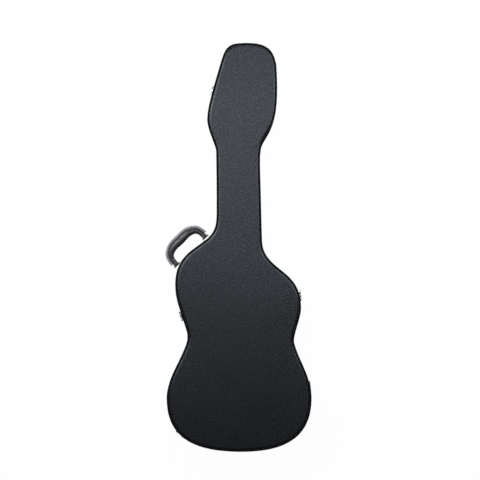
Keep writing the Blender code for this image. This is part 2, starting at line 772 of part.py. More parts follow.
def knuckle(leaf, name, frame, low, high, foot, top):
    """Joins a length of barrel to a leaf, with the web that carries it."""
    middle = (low + high) / 2
    back = wall_out(frame, middle, COVER_INSET) + GAP + LEAF_THICKNESS / 2
    web = box(f"{name}_web", (low + GAP, back, foot), (high - GAP, 0.0, top), frame)
    shape(leaf, web, "UNION")
    shape(leaf, rod(f"{name}_barrel", KNUCKLE_RADIUS, low, high, frame, sides=ROUND_SIDES), "UNION")


def make_hinge(name, place):
    """A butt hinge on the wall: the pieces for the base and the lid, and its pin."""
    along, out, distance = hinge_line()
    spot = loop_point(inset(COVER_INSET), place)
    spot = spot + out * (distance - out.dot(spot))
    frame = frame_at(
        Vector((spot.x, spot.y, BASE_DEPTH)), Vector((along.x, along.y, 0)), Vector((out.x, out.y, 0))
    )
    start, end = walk(place, -LEAF_WIDTH / 2), walk(place, LEAF_WIDTH / 2)
    outer, inner = COVER_INSET - GAP - LEAF_THICKNESS, COVER_INSET - GAP

    def leaf(side, low, high):
        return as_mesh(strip(f"hinge_leaf_{side}_{name}", start, end, outer, inner, low, high, CHROME))

    web_foot = LEAF_DROP + LEAF_THICKNESS
    half = BASE_KNUCKLE_LENGTH / 2
    base_leaf = leaf("base", BASE_DEPTH - LEAF_DROP - LEAF_HEIGHT, BASE_DEPTH - LEAF_DROP)
    knuckle(base_leaf, f"base_{name}", frame, -half, half, -web_foot, -PARTING_GAP / 2)
    lid_leaf = leaf("lid", BASE_DEPTH + LEAF_DROP, BASE_DEPTH + LEAF_DROP + LEAF_HEIGHT)
    near, far = half + KNUCKLE_PLAY, half + KNUCKLE_PLAY + LID_KNUCKLE_LENGTH
    knuckle(lid_leaf, f"lid_{name}_fore", frame, -far, -near, PARTING_GAP / 2, web_foot)
    knuckle(lid_leaf, f"lid_{name}_aft", frame, near, far, PARTING_GAP / 2, web_foot)
    bore = rod(f"bore_{name}", KNUCKLE_BORE_RADIUS, -2 * far, 2 * far, frame, sides=ROUND_SIDES)
    shape(base_leaf, bore, "DIFFERENCE")
    shape(lid_leaf, bore, "DIFFERENCE")
    reach = far + GAP
    shank = reach + PIN_HEAD_LENGTH / 2
    shank_radius = KNUCKLE_BORE_RADIUS - PIN_CLEARANCE
    pin = rod(f"hinge_pin_{name}", shank_radius, -shank, shank, frame, STEEL, sides=ROUND_SIDES)
    for side in (-1, 1):
        ends = sorted((side * reach, side * (reach + PIN_HEAD_LENGTH)))
        shape(pin, rod(f"pin_head_{name}_{side}", PIN_HEAD_RADIUS, *ends, frame, sides=ROUND_SIDES), "UNION")

    drop = LEAF_DROP + LEAF_HEIGHT - RIVET_EDGE
    for step in (-LEAF_WIDTH / 2 + RIVET_EDGE, LEAF_WIDTH / 2 - RIVET_EDGE):
        spot = walk(place, step)
        rivet(base_leaf, facing_out(wall_frame(spot, outer, BASE_DEPTH - drop)))
        rivet(lid_leaf, facing_out(wall_frame(spot, outer, BASE_DEPTH + drop)))
    return frame, lid_leaf


def make_hinges():
    """All hinges; gives the frame of the hinge line and what the lid carries."""
    lid_leaves = []
    for name, place in hinge_places().items():
        frame, lid_leaf = make_hinge(name, place)
        lid_leaves.append(lid_leaf)
    return frame, lid_leaves


# Latches

def arc(x, y, radius, start, end, steps):
    """Points on an arc from one angle to another, in degrees."""
    angles = [math.radians(start + (end - start) * i / steps) for i in range(steps + 1)]
    return [(x + radius * math.cos(a), y + radius * math.sin(a)) for a in angles]


def side_view(frame):
    """A frame turned so that flat outlines are drawn out of the wall and up."""
    return frame @ Matrix(((0, 0, 1, 0), (1, 0, 0, 0), (0, 1, 0, 0), (0, 0, 0, 1)))


def make_lever(name, frame):
    """A stamped channel: two cheeks with the eyes of both pivots, and a web that ends in a finger lip."""
    half = LEVER_WIDTH / 2
    web_out = LEVER_EYE_RADIUS
    web_in = web_out - LEVER_WEB
    cheek_out = web_out - LEVER_WEB / 4
    foot = -LEVER_LENGTH
    tip = web_out + LEVER_LIP
    web = [
        (web_in, LEVER_PIVOT_DROP - LEVER_WEB_DROP), (web_in, foot - LEVER_WEB), (tip, foot - LEVER_WEB),
        (tip, foot), (web_out, foot), (web_out, LEVER_PIVOT_DROP - LEVER_WEB_DROP),
    ]
    lever = as_mesh(profile_solid(f"latch_lever_{name}", [web], LEVER_WIDTH, side_view(frame), CHROME))
    boss = BAIL_WIRE_RADIUS + PIN_CLEARANCE + BAIL_EYE_WALL
    cheek_foot = foot + LEVER_WEB / 2
    cheek = [
        *arc(0, 0, LEVER_EYE_RADIUS, 0, 150, 5),
        *arc(-BAIL_PIVOT_BACK, -BAIL_PIVOT_DROP, boss, 150, 260, 3),
        (web_in - LEVER_WEB / 2, -LEVER_WEB_DROP + LEVER_PIVOT_DROP),
        (web_in - LEVER_WEB / 2, cheek_foot), (cheek_out, cheek_foot),
    ]
    for side in (-1, 1):
        spot = frame @ Matrix.Translation((side * (half - SIDE_PLAY / 2 - LEVER_CHEEK / 2), 0, 0))
        shape(lever, profile_solid(f"cheek_{name}_{side}", [cheek], LEVER_CHEEK, side_view(spot)), "UNION")
    pin_bore = LEVER_PIN_RADIUS + PIN_CLEARANCE
    shape(lever, rod(f"lever_bore_{name}", pin_bore, -LEVER_WIDTH, LEVER_WIDTH, frame), "DIFFERENCE")
    wire_bore = BAIL_WIRE_RADIUS + PIN_CLEARANCE
    eye = rod(
        f"bail_bore_{name}", wire_bore, -LEVER_WIDTH, LEVER_WIDTH, frame,
        out=-BAIL_PIVOT_BACK, up=-BAIL_PIVOT_DROP,
    )
    return shape(lever, eye, "DIFFERENCE")


def make_bail(name, frame):
    """A wire loop whose ends turn out into the eyes of the lever."""
    cheek_in = LEVER_WIDTH / 2 - SIDE_PLAY / 2 - LEVER_CHEEK
    arm = cheek_in - SIDE_PLAY - BAIL_WIRE_RADIUS
    end = cheek_in + LEVER_CHEEK
    bend = BAIL_WIRE_RADIUS
    half = [
        (end, 0.0, 0.0), (arm + bend, 0.0, 0.0), (arm, 0.0, bend),
        (arm, BAIL_LEAN, BAIL_REACH - bend), (arm - bend, BAIL_LEAN, BAIL_REACH),
    ]
    other = [(-x, y, z) for x, y, z in reversed(half)]
    return wire(f"latch_bail_{name}", half + other, BAIL_WIRE_RADIUS, frame, CHROME)


def make_latch(name, station):
    """A draw latch: plate with pivot stubs, lever and bail on the base; gives the keeper on the lid."""
    place = place_at(-1, TAIL_Y + station)
    frame = wall_frame(place, COVER_INSET, BASE_DEPTH)
    outer, inner = COVER_INSET - GAP - PLATE_THICKNESS, COVER_INSET - GAP
    seat = GAP + PLATE_THICKNESS / 4

    def wall_plate(label, width, low, high):
        start, end = walk(place, -width / 2), walk(place, width / 2)
        return as_mesh(strip(label, start, end, outer, inner, BASE_DEPTH + low, BASE_DEPTH + high, CHROME))

    plate = wall_plate(f"latch_plate_{name}", PLATE_WIDTH, -PLATE_DROP - PLATE_HEIGHT, -PLATE_DROP)
    ear_in = LEVER_WIDTH / 2 + SIDE_PLAY
    ear_out = ear_in + EAR_THICKNESS
    pivot_frame = frame @ Matrix.Translation((0, LEVER_PIVOT_OUT, -LEVER_PIVOT_DROP))
    ear_tip = LEVER_PIVOT_OUT + LEVER_EYE_RADIUS
    for side in (-1, 1):
        x_low, x_high = sorted((side * ear_in, side * ear_out))
        foot = wall_out(frame, (x_low + x_high) / 2, (outer + inner) / 2)
        low = (x_low, foot, -LEVER_PIVOT_DROP - EAR_HEIGHT / 2)
        high = (x_high, ear_tip, -LEVER_PIVOT_DROP + EAR_HEIGHT / 2)
        shape(plate, box(f"ear_{name}_{side}", low, high, frame), "UNION")
    pin_in = LEVER_WIDTH / 2 - SIDE_PLAY / 2 - LEVER_CHEEK
    pin_out = ear_out + LEVER_PIN_HEAD
    for side in (-1, 1):
        ends = sorted((side * pin_in, side * pin_out))
        shape(plate, rod(f"stub_{name}_{side}", LEVER_PIN_RADIUS, *ends, pivot_frame), "UNION")

    lever = make_lever(name, pivot_frame)
    carry(carrier(f"latch_lever_{name}_axis", pivot_frame), pivot_frame, lever)
    bail_frame = pivot_frame @ Matrix.Translation((0, -BAIL_PIVOT_BACK, -BAIL_PIVOT_DROP))
    bail = make_bail(name, bail_frame)
    carry(carrier(f"latch_bail_{name}_axis", bail_frame), bail_frame, bail)

    keeper = wall_plate(f"latch_keeper_{name}", KEEPER_WIDTH, KEEPER_RISE, KEEPER_RISE + KEEPER_HEIGHT)
    lip_tip = LEVER_PIVOT_OUT - BAIL_PIVOT_BACK + BAIL_LEAN - BAIL_WIRE_RADIUS - KEEPER_PLAY
    lip_top = KEEPER_LIP_RISE + KEEPER_LIP_THICKNESS
    hook_top = lip_top + KEEPER_HOOK_HEIGHT
    hook_in = lip_tip - KEEPER_HOOK_THICKNESS
    hook = [
        (seat, KEEPER_LIP_RISE), (lip_tip, KEEPER_LIP_RISE), (lip_tip, hook_top), (hook_in, hook_top),
        (hook_in, lip_top), (seat, lip_top),
    ]
    shape(keeper, profile_solid(f"hook_{name}", [hook], KEEPER_LIP_WIDTH, side_view(frame)), "UNION")

    def rivet_pair(solid, width, height):
        for step in (-width / 2 + RIVET_EDGE, width / 2 - RIVET_EDGE):
            rivet(solid, facing_out(wall_frame(walk(place, step), outer, BASE_DEPTH + height)))

    rivet_pair(plate, PLATE_WIDTH, -PLATE_DROP - PLATE_HEIGHT + RIVET_EDGE)
    rivet_pair(keeper, KEEPER_WIDTH, KEEPER_RISE + KEEPER_HEIGHT - RIVET_EDGE)
    return keeper


# Handle

def spline_through(points, steps):
    """Points along a smooth curve through given ones, each a tuple of numbers that are blended alike."""
    rows = [Vector(p) for p in points]
    rows = [rows[0] * 2 - rows[1], *rows, rows[-1] * 2 - rows[-2]]
    path = []
    for a, b, c, d in zip(rows, rows[1:], rows[2:], rows[3:]):
        for i in range(steps):
            t = i / steps
            path.append((b * 2 + (c - a) * t + (a * 2 - b * 5 + c * 4 - d) * t**2
                         + (b * 3 - a - c * 3 + d) * t**3) / 2)
    path.append(rows[-2])
    return path


def handle_frame():
    """The frame of the handle's pivot line, halfway between its legs, and the distance between them."""
    ends = []
    for station in (HANDLE_STATION_LOWER, HANDLE_STATION_UPPER):
        wall = wall_frame(place_at(-1, TAIL_Y + station), COVER_INSET, HANDLE_HEIGHT)
        ends.append(wall @ Vector((0, HANDLE_STANDOFF, 0)))
    along = (ends[1] - ends[0]).normalized()
    out = Vector((-along.y, along.x, 0))
    return frame_at((ends[0] + ends[1]) / 2, along, out), (ends[1] - ends[0]).length


def make_grip(frame, span):
    """The moulded grip, with the sewn flange along its outer side."""
    leg = span / 2
    grip_foot = END_THICKNESS / 2 + GAP
    collar_top = grip_foot + COLLAR_LENGTH
    half = [
        (-leg + LEG_IN, grip_foot + LEG_RISE, LEG_RADIUS),
        (-leg + KNEE_IN, grip_foot + KNEE_RISE, KNEE_RADIUS),
        (-leg + SHOULDER_IN, grip_foot + SHOULDER_RISE, SHOULDER_RADIUS),
        (-leg + HAND_IN, GRIP_REACH - HAND_DROP, HAND_RADIUS),
    ]
    knots = half + [(0.0, GRIP_REACH, GRIP_RADIUS)] + [(-x, y, r) for x, y, r in reversed(half)]
    collar = [Vector((-leg, height, COLLAR_RADIUS)) for height in (grip_foot, collar_top)]
    other_collar = [Vector((-p.x, p.y, p.z)) for p in reversed(collar)]
    path = [*collar, *spline_through(knots, GRIP_STEPS), *other_collar]
    grip = wire("handle_grip", [(p.x, p.y, 0.0) for p in path], GRIP_RADIUS, frame, GRIP, [p.z for p in path])
    inner, outer = [], []
    for before, here, after in zip(path, path[1:], path[2:]):
        along = Vector((after.x - before.x, after.y - before.y)).normalized()
        normal = Vector((-along.y, along.x))
        centre = Vector((here.x, here.y))
        if here.y > collar_top:
            inner.append(centre + normal * (here.z + GAP))
            outer.append(centre + normal * (here.z + GAP + FLANGE_HEIGHT))
    flange = profile_solid("handle_flange", [outer + inner[::-1]], FLANGE_THICKNESS, frame, GRIP)
    return grip, flange


def make_handle():
    frame, span = handle_frame()
    pieces = list(make_grip(frame, span))
    outer, inner = COVER_INSET - GAP - PLATE_THICKNESS, COVER_INSET - GAP
    for name, side, station in (("lower", -1, HANDLE_STATION_LOWER), ("upper", 1, HANDLE_STATION_UPPER)):
        leg_frame = frame @ Matrix.Translation((side * span / 2, 0, 0))
        high = Vector((END_WIDTH, END_THICKNESS, END_DEPTH)) / 2
        end = box(f"handle_end_{name}", -high, high, leg_frame, GRIP)
        bore = BRACKET_PIN_RADIUS + PIN_CLEARANCE
        end_bore = rod(f"end_bore_{name}", bore, -END_WIDTH, END_WIDTH, leg_frame, sides=ROUND_SIDES)
        shape(end, end_bore, "DIFFERENCE")
        pieces.append(end)

        place = place_at(-1, TAIL_Y + station)
        start, stop = walk(place, -BRACKET_LENGTH / 2), walk(place, BRACKET_LENGTH / 2)
        bracket = as_mesh(strip(
            f"handle_bracket_{name}", start, stop, outer, inner,
            HANDLE_HEIGHT - BRACKET_HEIGHT / 2, HANDLE_HEIGHT + BRACKET_HEIGHT / 2, CHROME,
        ))
        ear_in = END_WIDTH / 2 + BRACKET_PLAY
        ear_out = ear_in + BRACKET_EAR_THICKNESS
        for ear in (-1, 1):
            x_low, x_high = sorted((ear * ear_in, ear * ear_out))
            foot = wall_out(leg_frame, (x_low + x_high) / 2, (outer + inner) / 2)
            shape(bracket, box(
                f"bracket_ear_{name}_{ear}", (x_low, foot, -BRACKET_EAR_WIDTH / 2),
                (x_high, BRACKET_EAR_LENGTH, BRACKET_EAR_WIDTH / 2), leg_frame,
            ), "UNION")
        ear_bore = rod(f"bracket_bore_{name}", bore, -2 * ear_out, 2 * ear_out, leg_frame, sides=ROUND_SIDES)
        shape(bracket, ear_bore, "DIFFERENCE")
        reach = ear_out + PIN_HEAD_LENGTH
        rod(f"handle_pin_{name}", BRACKET_PIN_RADIUS, -reach, reach, leg_frame, STEEL, sides=ROUND_SIDES)
        for step in (-BRACKET_LENGTH / 2 + RIVET_EDGE, BRACKET_LENGTH / 2 - RIVET_EDGE):
            rivet(bracket, facing_out(wall_frame(walk(place, step), outer, HANDLE_HEIGHT)))
    carry(carrier("handle_axis", frame), frame, *pieces)


make_base()
make_padding()
make_neck_furniture()
hinge_frame, lid_leaves = make_hinges()
keepers = [make_latch(name, station) for name, station in LATCH_STATIONS.items()]
carry(carrier("lid_axis", hinge_frame), hinge_frame, *make_lid(), *lid_leaves, *keepers)
make_handle()
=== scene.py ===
# %% [markdown]
# # A shaped hard case for an electric guitar
#
# The case is two shallow plywood trays, hinged along one side and covered in grained black vinyl. A sewn
# binding hides the edge where the top meets the wall, three draw latches hold the lid shut, and a moulded
# handle hangs from two brackets. The bare mechanical model comes ready-made. This lesson gives it its looks:
# smooth skins, stitches, plush, plated metal, light and a camera.

# %% [markdown]
# ## Loading the bare model
#
# The bare model holds every piece at its real place, in metres, with +Z up. The dressed case has to stay the same
# size.

# %% Load the bare model
import json
import math

import bmesh
import bpy
import numpy as np
from mathutils import Matrix, Vector


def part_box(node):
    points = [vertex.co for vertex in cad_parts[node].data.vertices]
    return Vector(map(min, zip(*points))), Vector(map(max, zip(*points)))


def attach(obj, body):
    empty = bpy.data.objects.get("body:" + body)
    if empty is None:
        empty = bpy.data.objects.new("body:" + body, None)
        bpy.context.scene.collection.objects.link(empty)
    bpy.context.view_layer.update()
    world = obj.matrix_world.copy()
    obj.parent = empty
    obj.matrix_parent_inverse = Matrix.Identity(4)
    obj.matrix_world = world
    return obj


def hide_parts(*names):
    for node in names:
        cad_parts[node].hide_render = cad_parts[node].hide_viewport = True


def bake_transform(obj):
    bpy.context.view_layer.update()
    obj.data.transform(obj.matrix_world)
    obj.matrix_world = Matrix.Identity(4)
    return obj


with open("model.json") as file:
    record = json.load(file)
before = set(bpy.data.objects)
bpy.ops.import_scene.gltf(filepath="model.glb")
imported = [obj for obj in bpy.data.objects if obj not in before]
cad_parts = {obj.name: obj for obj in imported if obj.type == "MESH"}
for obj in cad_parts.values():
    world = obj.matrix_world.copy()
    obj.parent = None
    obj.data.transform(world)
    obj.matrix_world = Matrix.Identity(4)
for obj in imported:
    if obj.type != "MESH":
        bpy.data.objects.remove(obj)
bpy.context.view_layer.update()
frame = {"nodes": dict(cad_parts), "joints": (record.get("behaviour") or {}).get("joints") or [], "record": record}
nodes = frame["nodes"]
joints = {joint["name"]: joint for joint in frame["joints"]}
scene = bpy.context.scene
MM = 0.001

# %% [markdown]
# ## The camera
#
# The photograph looks straight down on the lid from a few metres away. A camera with no rotation looks down -Z
# with +Y at the top of the picture, so it only has to be moved over the case. The lens follows from the
# distance: the width seen at the lid, divided by the distance, is the sensor's width divided by the lens.

# %% Place the camera
LID_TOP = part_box("lid_top_cover")[1].z
CAMERA_HEIGHT = 4.0
WIDTH_SEEN = 1233.6 * MM
PICTURE_CENTRE = (2.3 * MM, 19.0 * MM)

camera_data = bpy.data.cameras.new("camera")
camera_data.sensor_width = 36
camera_data.lens = camera_data.sensor_width * CAMERA_HEIGHT / WIDTH_SEEN
camera = bpy.data.objects.new("camera", camera_data)
camera.location = (*PICTURE_CENTRE, LID_TOP + CAMERA_HEIGHT)
scene.collection.objects.link(camera)
scene.camera = camera
scene.view_settings.view_transform = "Standard"
print(f"lens {camera_data.lens:.1f} mm, {CAMERA_HEIGHT} m above the lid")

# %% [markdown]
# ## Colours and nodes
#
# Colours are written as the hex codes that a paint program shows. Shaders work in linear light, so one function
# converts them. A second small function adds a shader node: a setting is given by name, and an input is either
# a plain value or the socket of another node, which gets linked.

# %% Colour and node helpers
def colour(code):
    """Linear red, green, blue and alpha of an sRGB hex code such as #1A1B1E."""
    channels = [int(code[start:start + 2], 16) / 255 for start in (1, 3, 5)]
    linear = [c / 12.92 if c <= 0.04045 else ((c + 0.055) / 1.055) ** 2.4 for c in channels]
    return (*linear, 1.0)


def add_node(tree, kind, inputs=None, **settings):
    """A new node in the tree, with its settings made and its inputs linked or set."""
    made = tree.nodes.new("ShaderNode" + kind)
    for name, value in settings.items():
        setattr(made, name, value)
    for name, value in (inputs or {}).items():
        if isinstance(value, bpy.types.NodeSocket):
            tree.links.new(value, made.inputs[name])
        else:
            made.inputs[name].default_value = value
    return made


def new_material(name, sockets):
    """A Principled material with these plain values, its node tree and its shader."""
    made = bpy.data.materials.new(name)
    made.use_nodes = True
    shader = made.node_tree.nodes["Principled BSDF"]
    for socket, value in sockets.items():
        shader.inputs[socket].default_value = value
    return made, made.node_tree, shader


def per_mm(size):
    """The texture scale that makes a pattern repeat about every size millimetres."""
    return 1 / (size * MM)


print("#808080 is", round(colour("#808080")[0], 3), "in linear light")

# %% [markdown]
# ## Grained vinyl
#
# The covering is PVC-coated cloth, embossed by a hot roller with a leather grain: rounded pebbles with fine
# creases between them. A Voronoi texture gives pebbles, and a noise at another size keeps them uneven. The real
# grain is about a millimetre across, finer than one pixel of the picture, so it is drawn about three times coarser.
# The creases are duller than the polished tops, and their colour is painted darker as the shade that falls in them.

# %% Vinyl material
PEBBLE = 3.2
PEBBLE_HEIGHT = 0.30 * MM
CREASE = 2.3
SCUFF = 60

vinyl, tree, shader = new_material("vinyl_grained", {"IOR": 1.5, "Specular Tint": colour("#E5F1FF")})
place = add_node(tree, "TexCoord").outputs["Object"]
pebbles = add_node(tree, "TexVoronoi", {"Vector": place, "Scale": per_mm(PEBBLE), "Randomness": 0.9},
                   feature="SMOOTH_F1")
uneven = add_node(tree, "TexNoise", {"Vector": place, "Scale": per_mm(CREASE), "Detail": 2.0})
scuffs = add_node(tree, "TexNoise", {"Vector": place, "Scale": per_mm(SCUFF), "Detail": 5.0, "Roughness": 0.6})
grain = add_node(tree, "Math", {0: pebbles.outputs["Distance"], 1: uneven.outputs["Fac"]}, operation="ADD")
# Painted shade: the colour is darker in the low creases between pebbles.
crease_shade = add_node(tree, "MapRange", {"Value": grain.outputs[0], "From Min": 0.66, "From Max": 0.92})
skin = add_node(tree, "MixRGB", {"Fac": crease_shade.outputs[0], "Color1": colour("#232427"), "Color2": colour("#010101")})
polish = add_node(tree, "MapRange", {"Value": grain.outputs[0], "From Min": 0.6, "From Max": 1.2,
                                     "To Min": 0.27, "To Max": 0.4})
shine = add_node(tree, "Math", {0: scuffs.outputs["Fac"], 1: 0.05, 2: polish.outputs[0]}, operation="MULTIPLY_ADD")
relief = add_node(tree, "Bump", {"Height": grain.outputs[0], "Strength": 0.55, "Distance": PEBBLE_HEIGHT},
                  invert=True)
tree.links.new(skin.outputs[0], shader.inputs["Base Color"])
tree.links.new(shine.outputs[0], shader.inputs["Roughness"])
tree.links.new(relief.outputs[0], shader.inputs["Normal"])
print("made", vinyl.name)

# %% [markdown]
# ## Binding and thread
#
# The binding is a smooth welt of soft PVC, rolled over the edge and sewn down with an overcast stitch of waxed nylon.
# The welt is blacker than the covering, because it has no grain to catch the light. The thread is a little paler and
# shows its twist as slanting bands, painted darker in the grooves between the twists as shade.

# %% Binding and thread materials
welt_pvc, tree, shader = new_material("welt_pvc", {"IOR": 1.5, "Specular IOR Level": 0.02})
place = add_node(tree, "TexCoord").outputs["Object"]
dust = add_node(tree, "TexNoise", {"Vector": place, "Scale": per_mm(9), "Detail": 4.0})
body_tone = add_node(tree, "MixRGB", {"Fac": dust.outputs["Fac"], "Color1": colour("#020203"),
                                      "Color2": colour("#070708")})
gloss = add_node(tree, "MapRange", {"Value": dust.outputs["Fac"], "To Min": 0.6, "To Max": 0.8})
dents = add_node(tree, "Bump", {"Height": dust.outputs["Fac"], "Strength": 0.3, "Distance": 0.2 * MM})
tree.links.new(body_tone.outputs[0], shader.inputs["Base Color"])
tree.links.new(gloss.outputs[0], shader.inputs["Roughness"])
tree.links.new(dents.outputs[0], shader.inputs["Normal"])

thread, tree, shader = new_material("nylon_thread_waxed", {"IOR": 1.53, "Roughness": 0.6, "Specular IOR Level": 0.03})
twist_map = add_node(tree, "TexCoord").outputs["UV"]
twist = add_node(tree, "TexWave", {"Vector": twist_map, "Scale": 1.6, "Distortion": 0.4}, bands_direction="DIAGONAL")
# Painted shade: the thread's colour is darker where the twist's bump is low.
strand_and_groove_shade = add_node(tree, "MixRGB", {"Fac": twist.outputs["Fac"], "Color1": colour("#1C1D20"),
                                   "Color2": colour("#34353A")})
lay = add_node(tree, "Bump", {"Height": twist.outputs["Fac"], "Strength": 0.4, "Distance": 0.1 * MM})
tree.links.new(strand_and_groove_shade.outputs[0], shader.inputs["Base Color"])
tree.links.new(lay.outputs[0], shader.inputs["Normal"])
print("made", welt_pvc.name, "and", thread.name)

# %% [markdown]
# ## Plush
#
# The inside is lined with a short charcoal pile, as on a soft toy. Fibres that stand on end catch light at their
# tips, which the shader's sheen gives. Strokes of a hand leave the pile lying in different directions, so it catches
# the light in patches: a broad noise paints these patches of sheen and shade into the colour. A fine noise stands for
# the tufts, and the colour is painted darker between them as shade. The tufts are drawn at 1.4 mm, about twice their
# real size.

# %% Plush material
TUFT = 1.4
STROKE = 28

plush, tree, shader = new_material("plush_pile", {"Roughness": 0.95, "Specular IOR Level": 0.15,
                                                  "Sheen Weight": 0.5, "Sheen Roughness": 0.45,
                                                  "Sheen Tint": colour("#84858E")})
place = add_node(tree, "TexCoord").outputs["Object"]
tufts = add_node(tree, "TexNoise", {"Vector": place, "Scale": per_mm(TUFT), "Detail": 2.0})
# Painted sheen and shade in patches, where the pile lies in different directions.
pile_sheen_patches = add_node(tree, "TexNoise", {"Vector": place, "Scale": per_mm(STROKE), "Detail": 3.0, "Distortion": 1.2})
pile = add_node(tree, "MixRGB", {"Fac": pile_sheen_patches.outputs["Fac"], "Color1": colour("#29292F"),
                                 "Color2": colour("#47474F")})
# Painted shade between the tufts: the colour is darker where the tufts' bump is low.
tuft_shade_colour = add_node(tree, "MixRGB", {"Fac": tufts.outputs["Fac"], "Color1": colour("#17171B"),
                                   "Color2": pile.outputs[0]})
nap = add_node(tree, "Bump", {"Height": tufts.outputs["Fac"], "Strength": 0.8, "Distance": 0.7 * MM})
tree.links.new(tuft_shade_colour.outputs[0], shader.inputs["Base Color"])
tree.links.new(nap.outputs[0], shader.inputs["Normal"])
print("made", plush.name)

# %% [markdown]
# ## Plated metal
#
# Latches, hinges and brackets are stamped steel with bright chrome plating. Chrome is nearly a mirror, so what
# it shows is the room. Faint finger marks dull it in patches, and stamping leaves a slight waviness that bends
# the reflections. The pins are plain turned steel, duller, with fine rings from the lathe.

# %% Chrome and steel materials
chrome, tree, shader = new_material("chrome_plate", {"Metallic": 1.0, "Base Color": colour("#B6B7BB")})
place = add_node(tree, "TexCoord").outputs["Object"]
marks = add_node(tree, "TexNoise", {"Vector": place, "Scale": per_mm(7), "Detail": 4.0, "Roughness": 0.65})
smear = add_node(tree, "MapRange", {"Value": marks.outputs["Fac"], "From Min": 0.35, "From Max": 0.75,
                                    "To Min": 0.07, "To Max": 0.24})
waviness = add_node(tree, "TexNoise", {"Vector": place, "Scale": per_mm(11), "Detail": 1.0})
stamped = add_node(tree, "Bump", {"Height": waviness.outputs["Fac"], "Strength": 0.25, "Distance": 0.4 * MM})
tree.links.new(smear.outputs[0], shader.inputs["Roughness"])
tree.links.new(stamped.outputs[0], shader.inputs["Normal"])

steel, tree, shader = new_material("steel_turned", {"Metallic": 1.0})
place = add_node(tree, "TexCoord").outputs["Object"]
rings = add_node(tree, "TexNoise", {"Vector": place, "Scale": per_mm(0.8), "Detail": 2.0})
oxide = add_node(tree, "MixRGB", {"Fac": rings.outputs["Fac"], "Color1": colour("#8F9094"),
                                  "Color2": colour("#B4B5B9")})
turned = add_node(tree, "MapRange", {"Value": rings.outputs["Fac"], "To Min": 0.22, "To Max": 0.42})
tree.links.new(oxide.outputs[0], shader.inputs["Base Color"])
tree.links.new(turned.outputs[0], shader.inputs["Roughness"])
print("made", chrome.name, "and", steel.name)

# %% [markdown]
# ## Handle plastics and plywood
#
# The grip is moulded in semi-gloss black plastic over a steel core. A strip of paler, softer PVC runs along its outer
# side, with a little random smudging, and it is painted lighter towards its outer edge as the highlight where that
# edge turns to the light: the texture coordinate that runs round the strip says how near the edge a place is. Plywood
# shows nowhere from outside, but it is there under the skins, so it gets birch tones with grain stretched along the
# case.

# %% Grip, strip and plywood materials
grip_plastic, tree, shader = new_material("moulded_grip_plastic", {"IOR": 1.55})
place = add_node(tree, "TexCoord").outputs["Object"]
sparks = add_node(tree, "TexNoise", {"Vector": place, "Scale": per_mm(1.2), "Detail": 2.0})
handled = add_node(tree, "TexNoise", {"Vector": place, "Scale": per_mm(30), "Detail": 2.0})
moulded = add_node(tree, "MixRGB", {"Fac": handled.outputs["Fac"], "Color1": colour("#232428"),
                                    "Color2": colour("#303135")})
polish = add_node(tree, "MapRange", {"Value": handled.outputs["Fac"], "To Min": 0.29, "To Max": 0.36})
spark_relief = add_node(tree, "Bump", {"Height": sparks.outputs["Fac"], "Strength": 0.05, "Distance": 0.04 * MM})
tree.links.new(moulded.outputs[0], shader.inputs["Base Color"])
tree.links.new(polish.outputs[0], shader.inputs["Roughness"])
tree.links.new(spark_relief.outputs[0], shader.inputs["Normal"])

strip_pvc, tree, shader = new_material("soft_grey_pvc", {"IOR": 1.5})
place = add_node(tree, "TexCoord").outputs["Object"]
smudge = add_node(tree, "TexNoise", {"Vector": place, "Scale": per_mm(6), "Detail": 4.0})
round_it = add_node(tree, "SeparateXYZ", {0: add_node(tree, "TexCoord").outputs["UV"]}).outputs["Y"]
# Painted highlight: the strip's colour grows lighter towards its outer edge, and the smudge noise adds random tone.
turn = add_node(tree, "Math", {0: round_it, 1: 2 * math.pi}, operation="MULTIPLY")
to_tip = add_node(tree, "Math", {0: turn.outputs[0]}, operation="COSINE")
smudge_and_tip_highlight = add_node(tree, "Math", {0: smudge.outputs["Fac"], 1: 0.2, 2: to_tip.outputs[0]}, operation="MULTIPLY_ADD")
smudge_and_highlight_ramp = add_node(tree, "MapRange", {"Value": smudge_and_tip_highlight.outputs[0], "From Min": -0.9, "From Max": 1.1})
greys = add_node(tree, "MixRGB", {"Fac": smudge_and_highlight_ramp.outputs[0], "Color1": colour("#626367"),
                                  "Color2": colour("#A9AAAD")})
matt = add_node(tree, "MapRange", {"Value": smudge.outputs["Fac"], "To Min": 0.45, "To Max": 0.65})
tree.links.new(greys.outputs[0], shader.inputs["Base Color"])
tree.links.new(matt.outputs[0], shader.inputs["Roughness"])

bar_black, tree, shader = new_material("moulded_black_nylon", {"IOR": 1.53, "Specular IOR Level": 0.25})
place = add_node(tree, "TexCoord").outputs["Object"]
flow = add_node(tree, "TexNoise", {"Vector": place, "Scale": per_mm(3), "Detail": 3.0})
jet = add_node(tree, "MixRGB", {"Fac": flow.outputs["Fac"], "Color1": colour("#060607"),
                                "Color2": colour("#101012")})
dull = add_node(tree, "MapRange", {"Value": flow.outputs["Fac"], "To Min": 0.5, "To Max": 0.7})
tree.links.new(jet.outputs[0], shader.inputs["Base Color"])
tree.links.new(dull.outputs[0], shader.inputs["Roughness"])

plywood, tree, shader = new_material("birch_plywood", {"Roughness": 0.6})
place = add_node(tree, "TexCoord").outputs["Object"]
along = add_node(tree, "Mapping", {"Vector": place, "Scale": (1, 0.08, 1)})
figure = add_node(tree, "TexNoise", {"Vector": along.outputs[0], "Scale": per_mm(6), "Detail": 5.0})
birch = add_node(tree, "MixRGB", {"Fac": figure.outputs["Fac"], "Color1": colour("#A8855A"),
                                  "Color2": colour("#D4B483")})
tree.links.new(birch.outputs[0], shader.inputs["Base Color"])
print("made", grip_plastic.name, strip_pvc.name, bar_black.name, plywood.name)

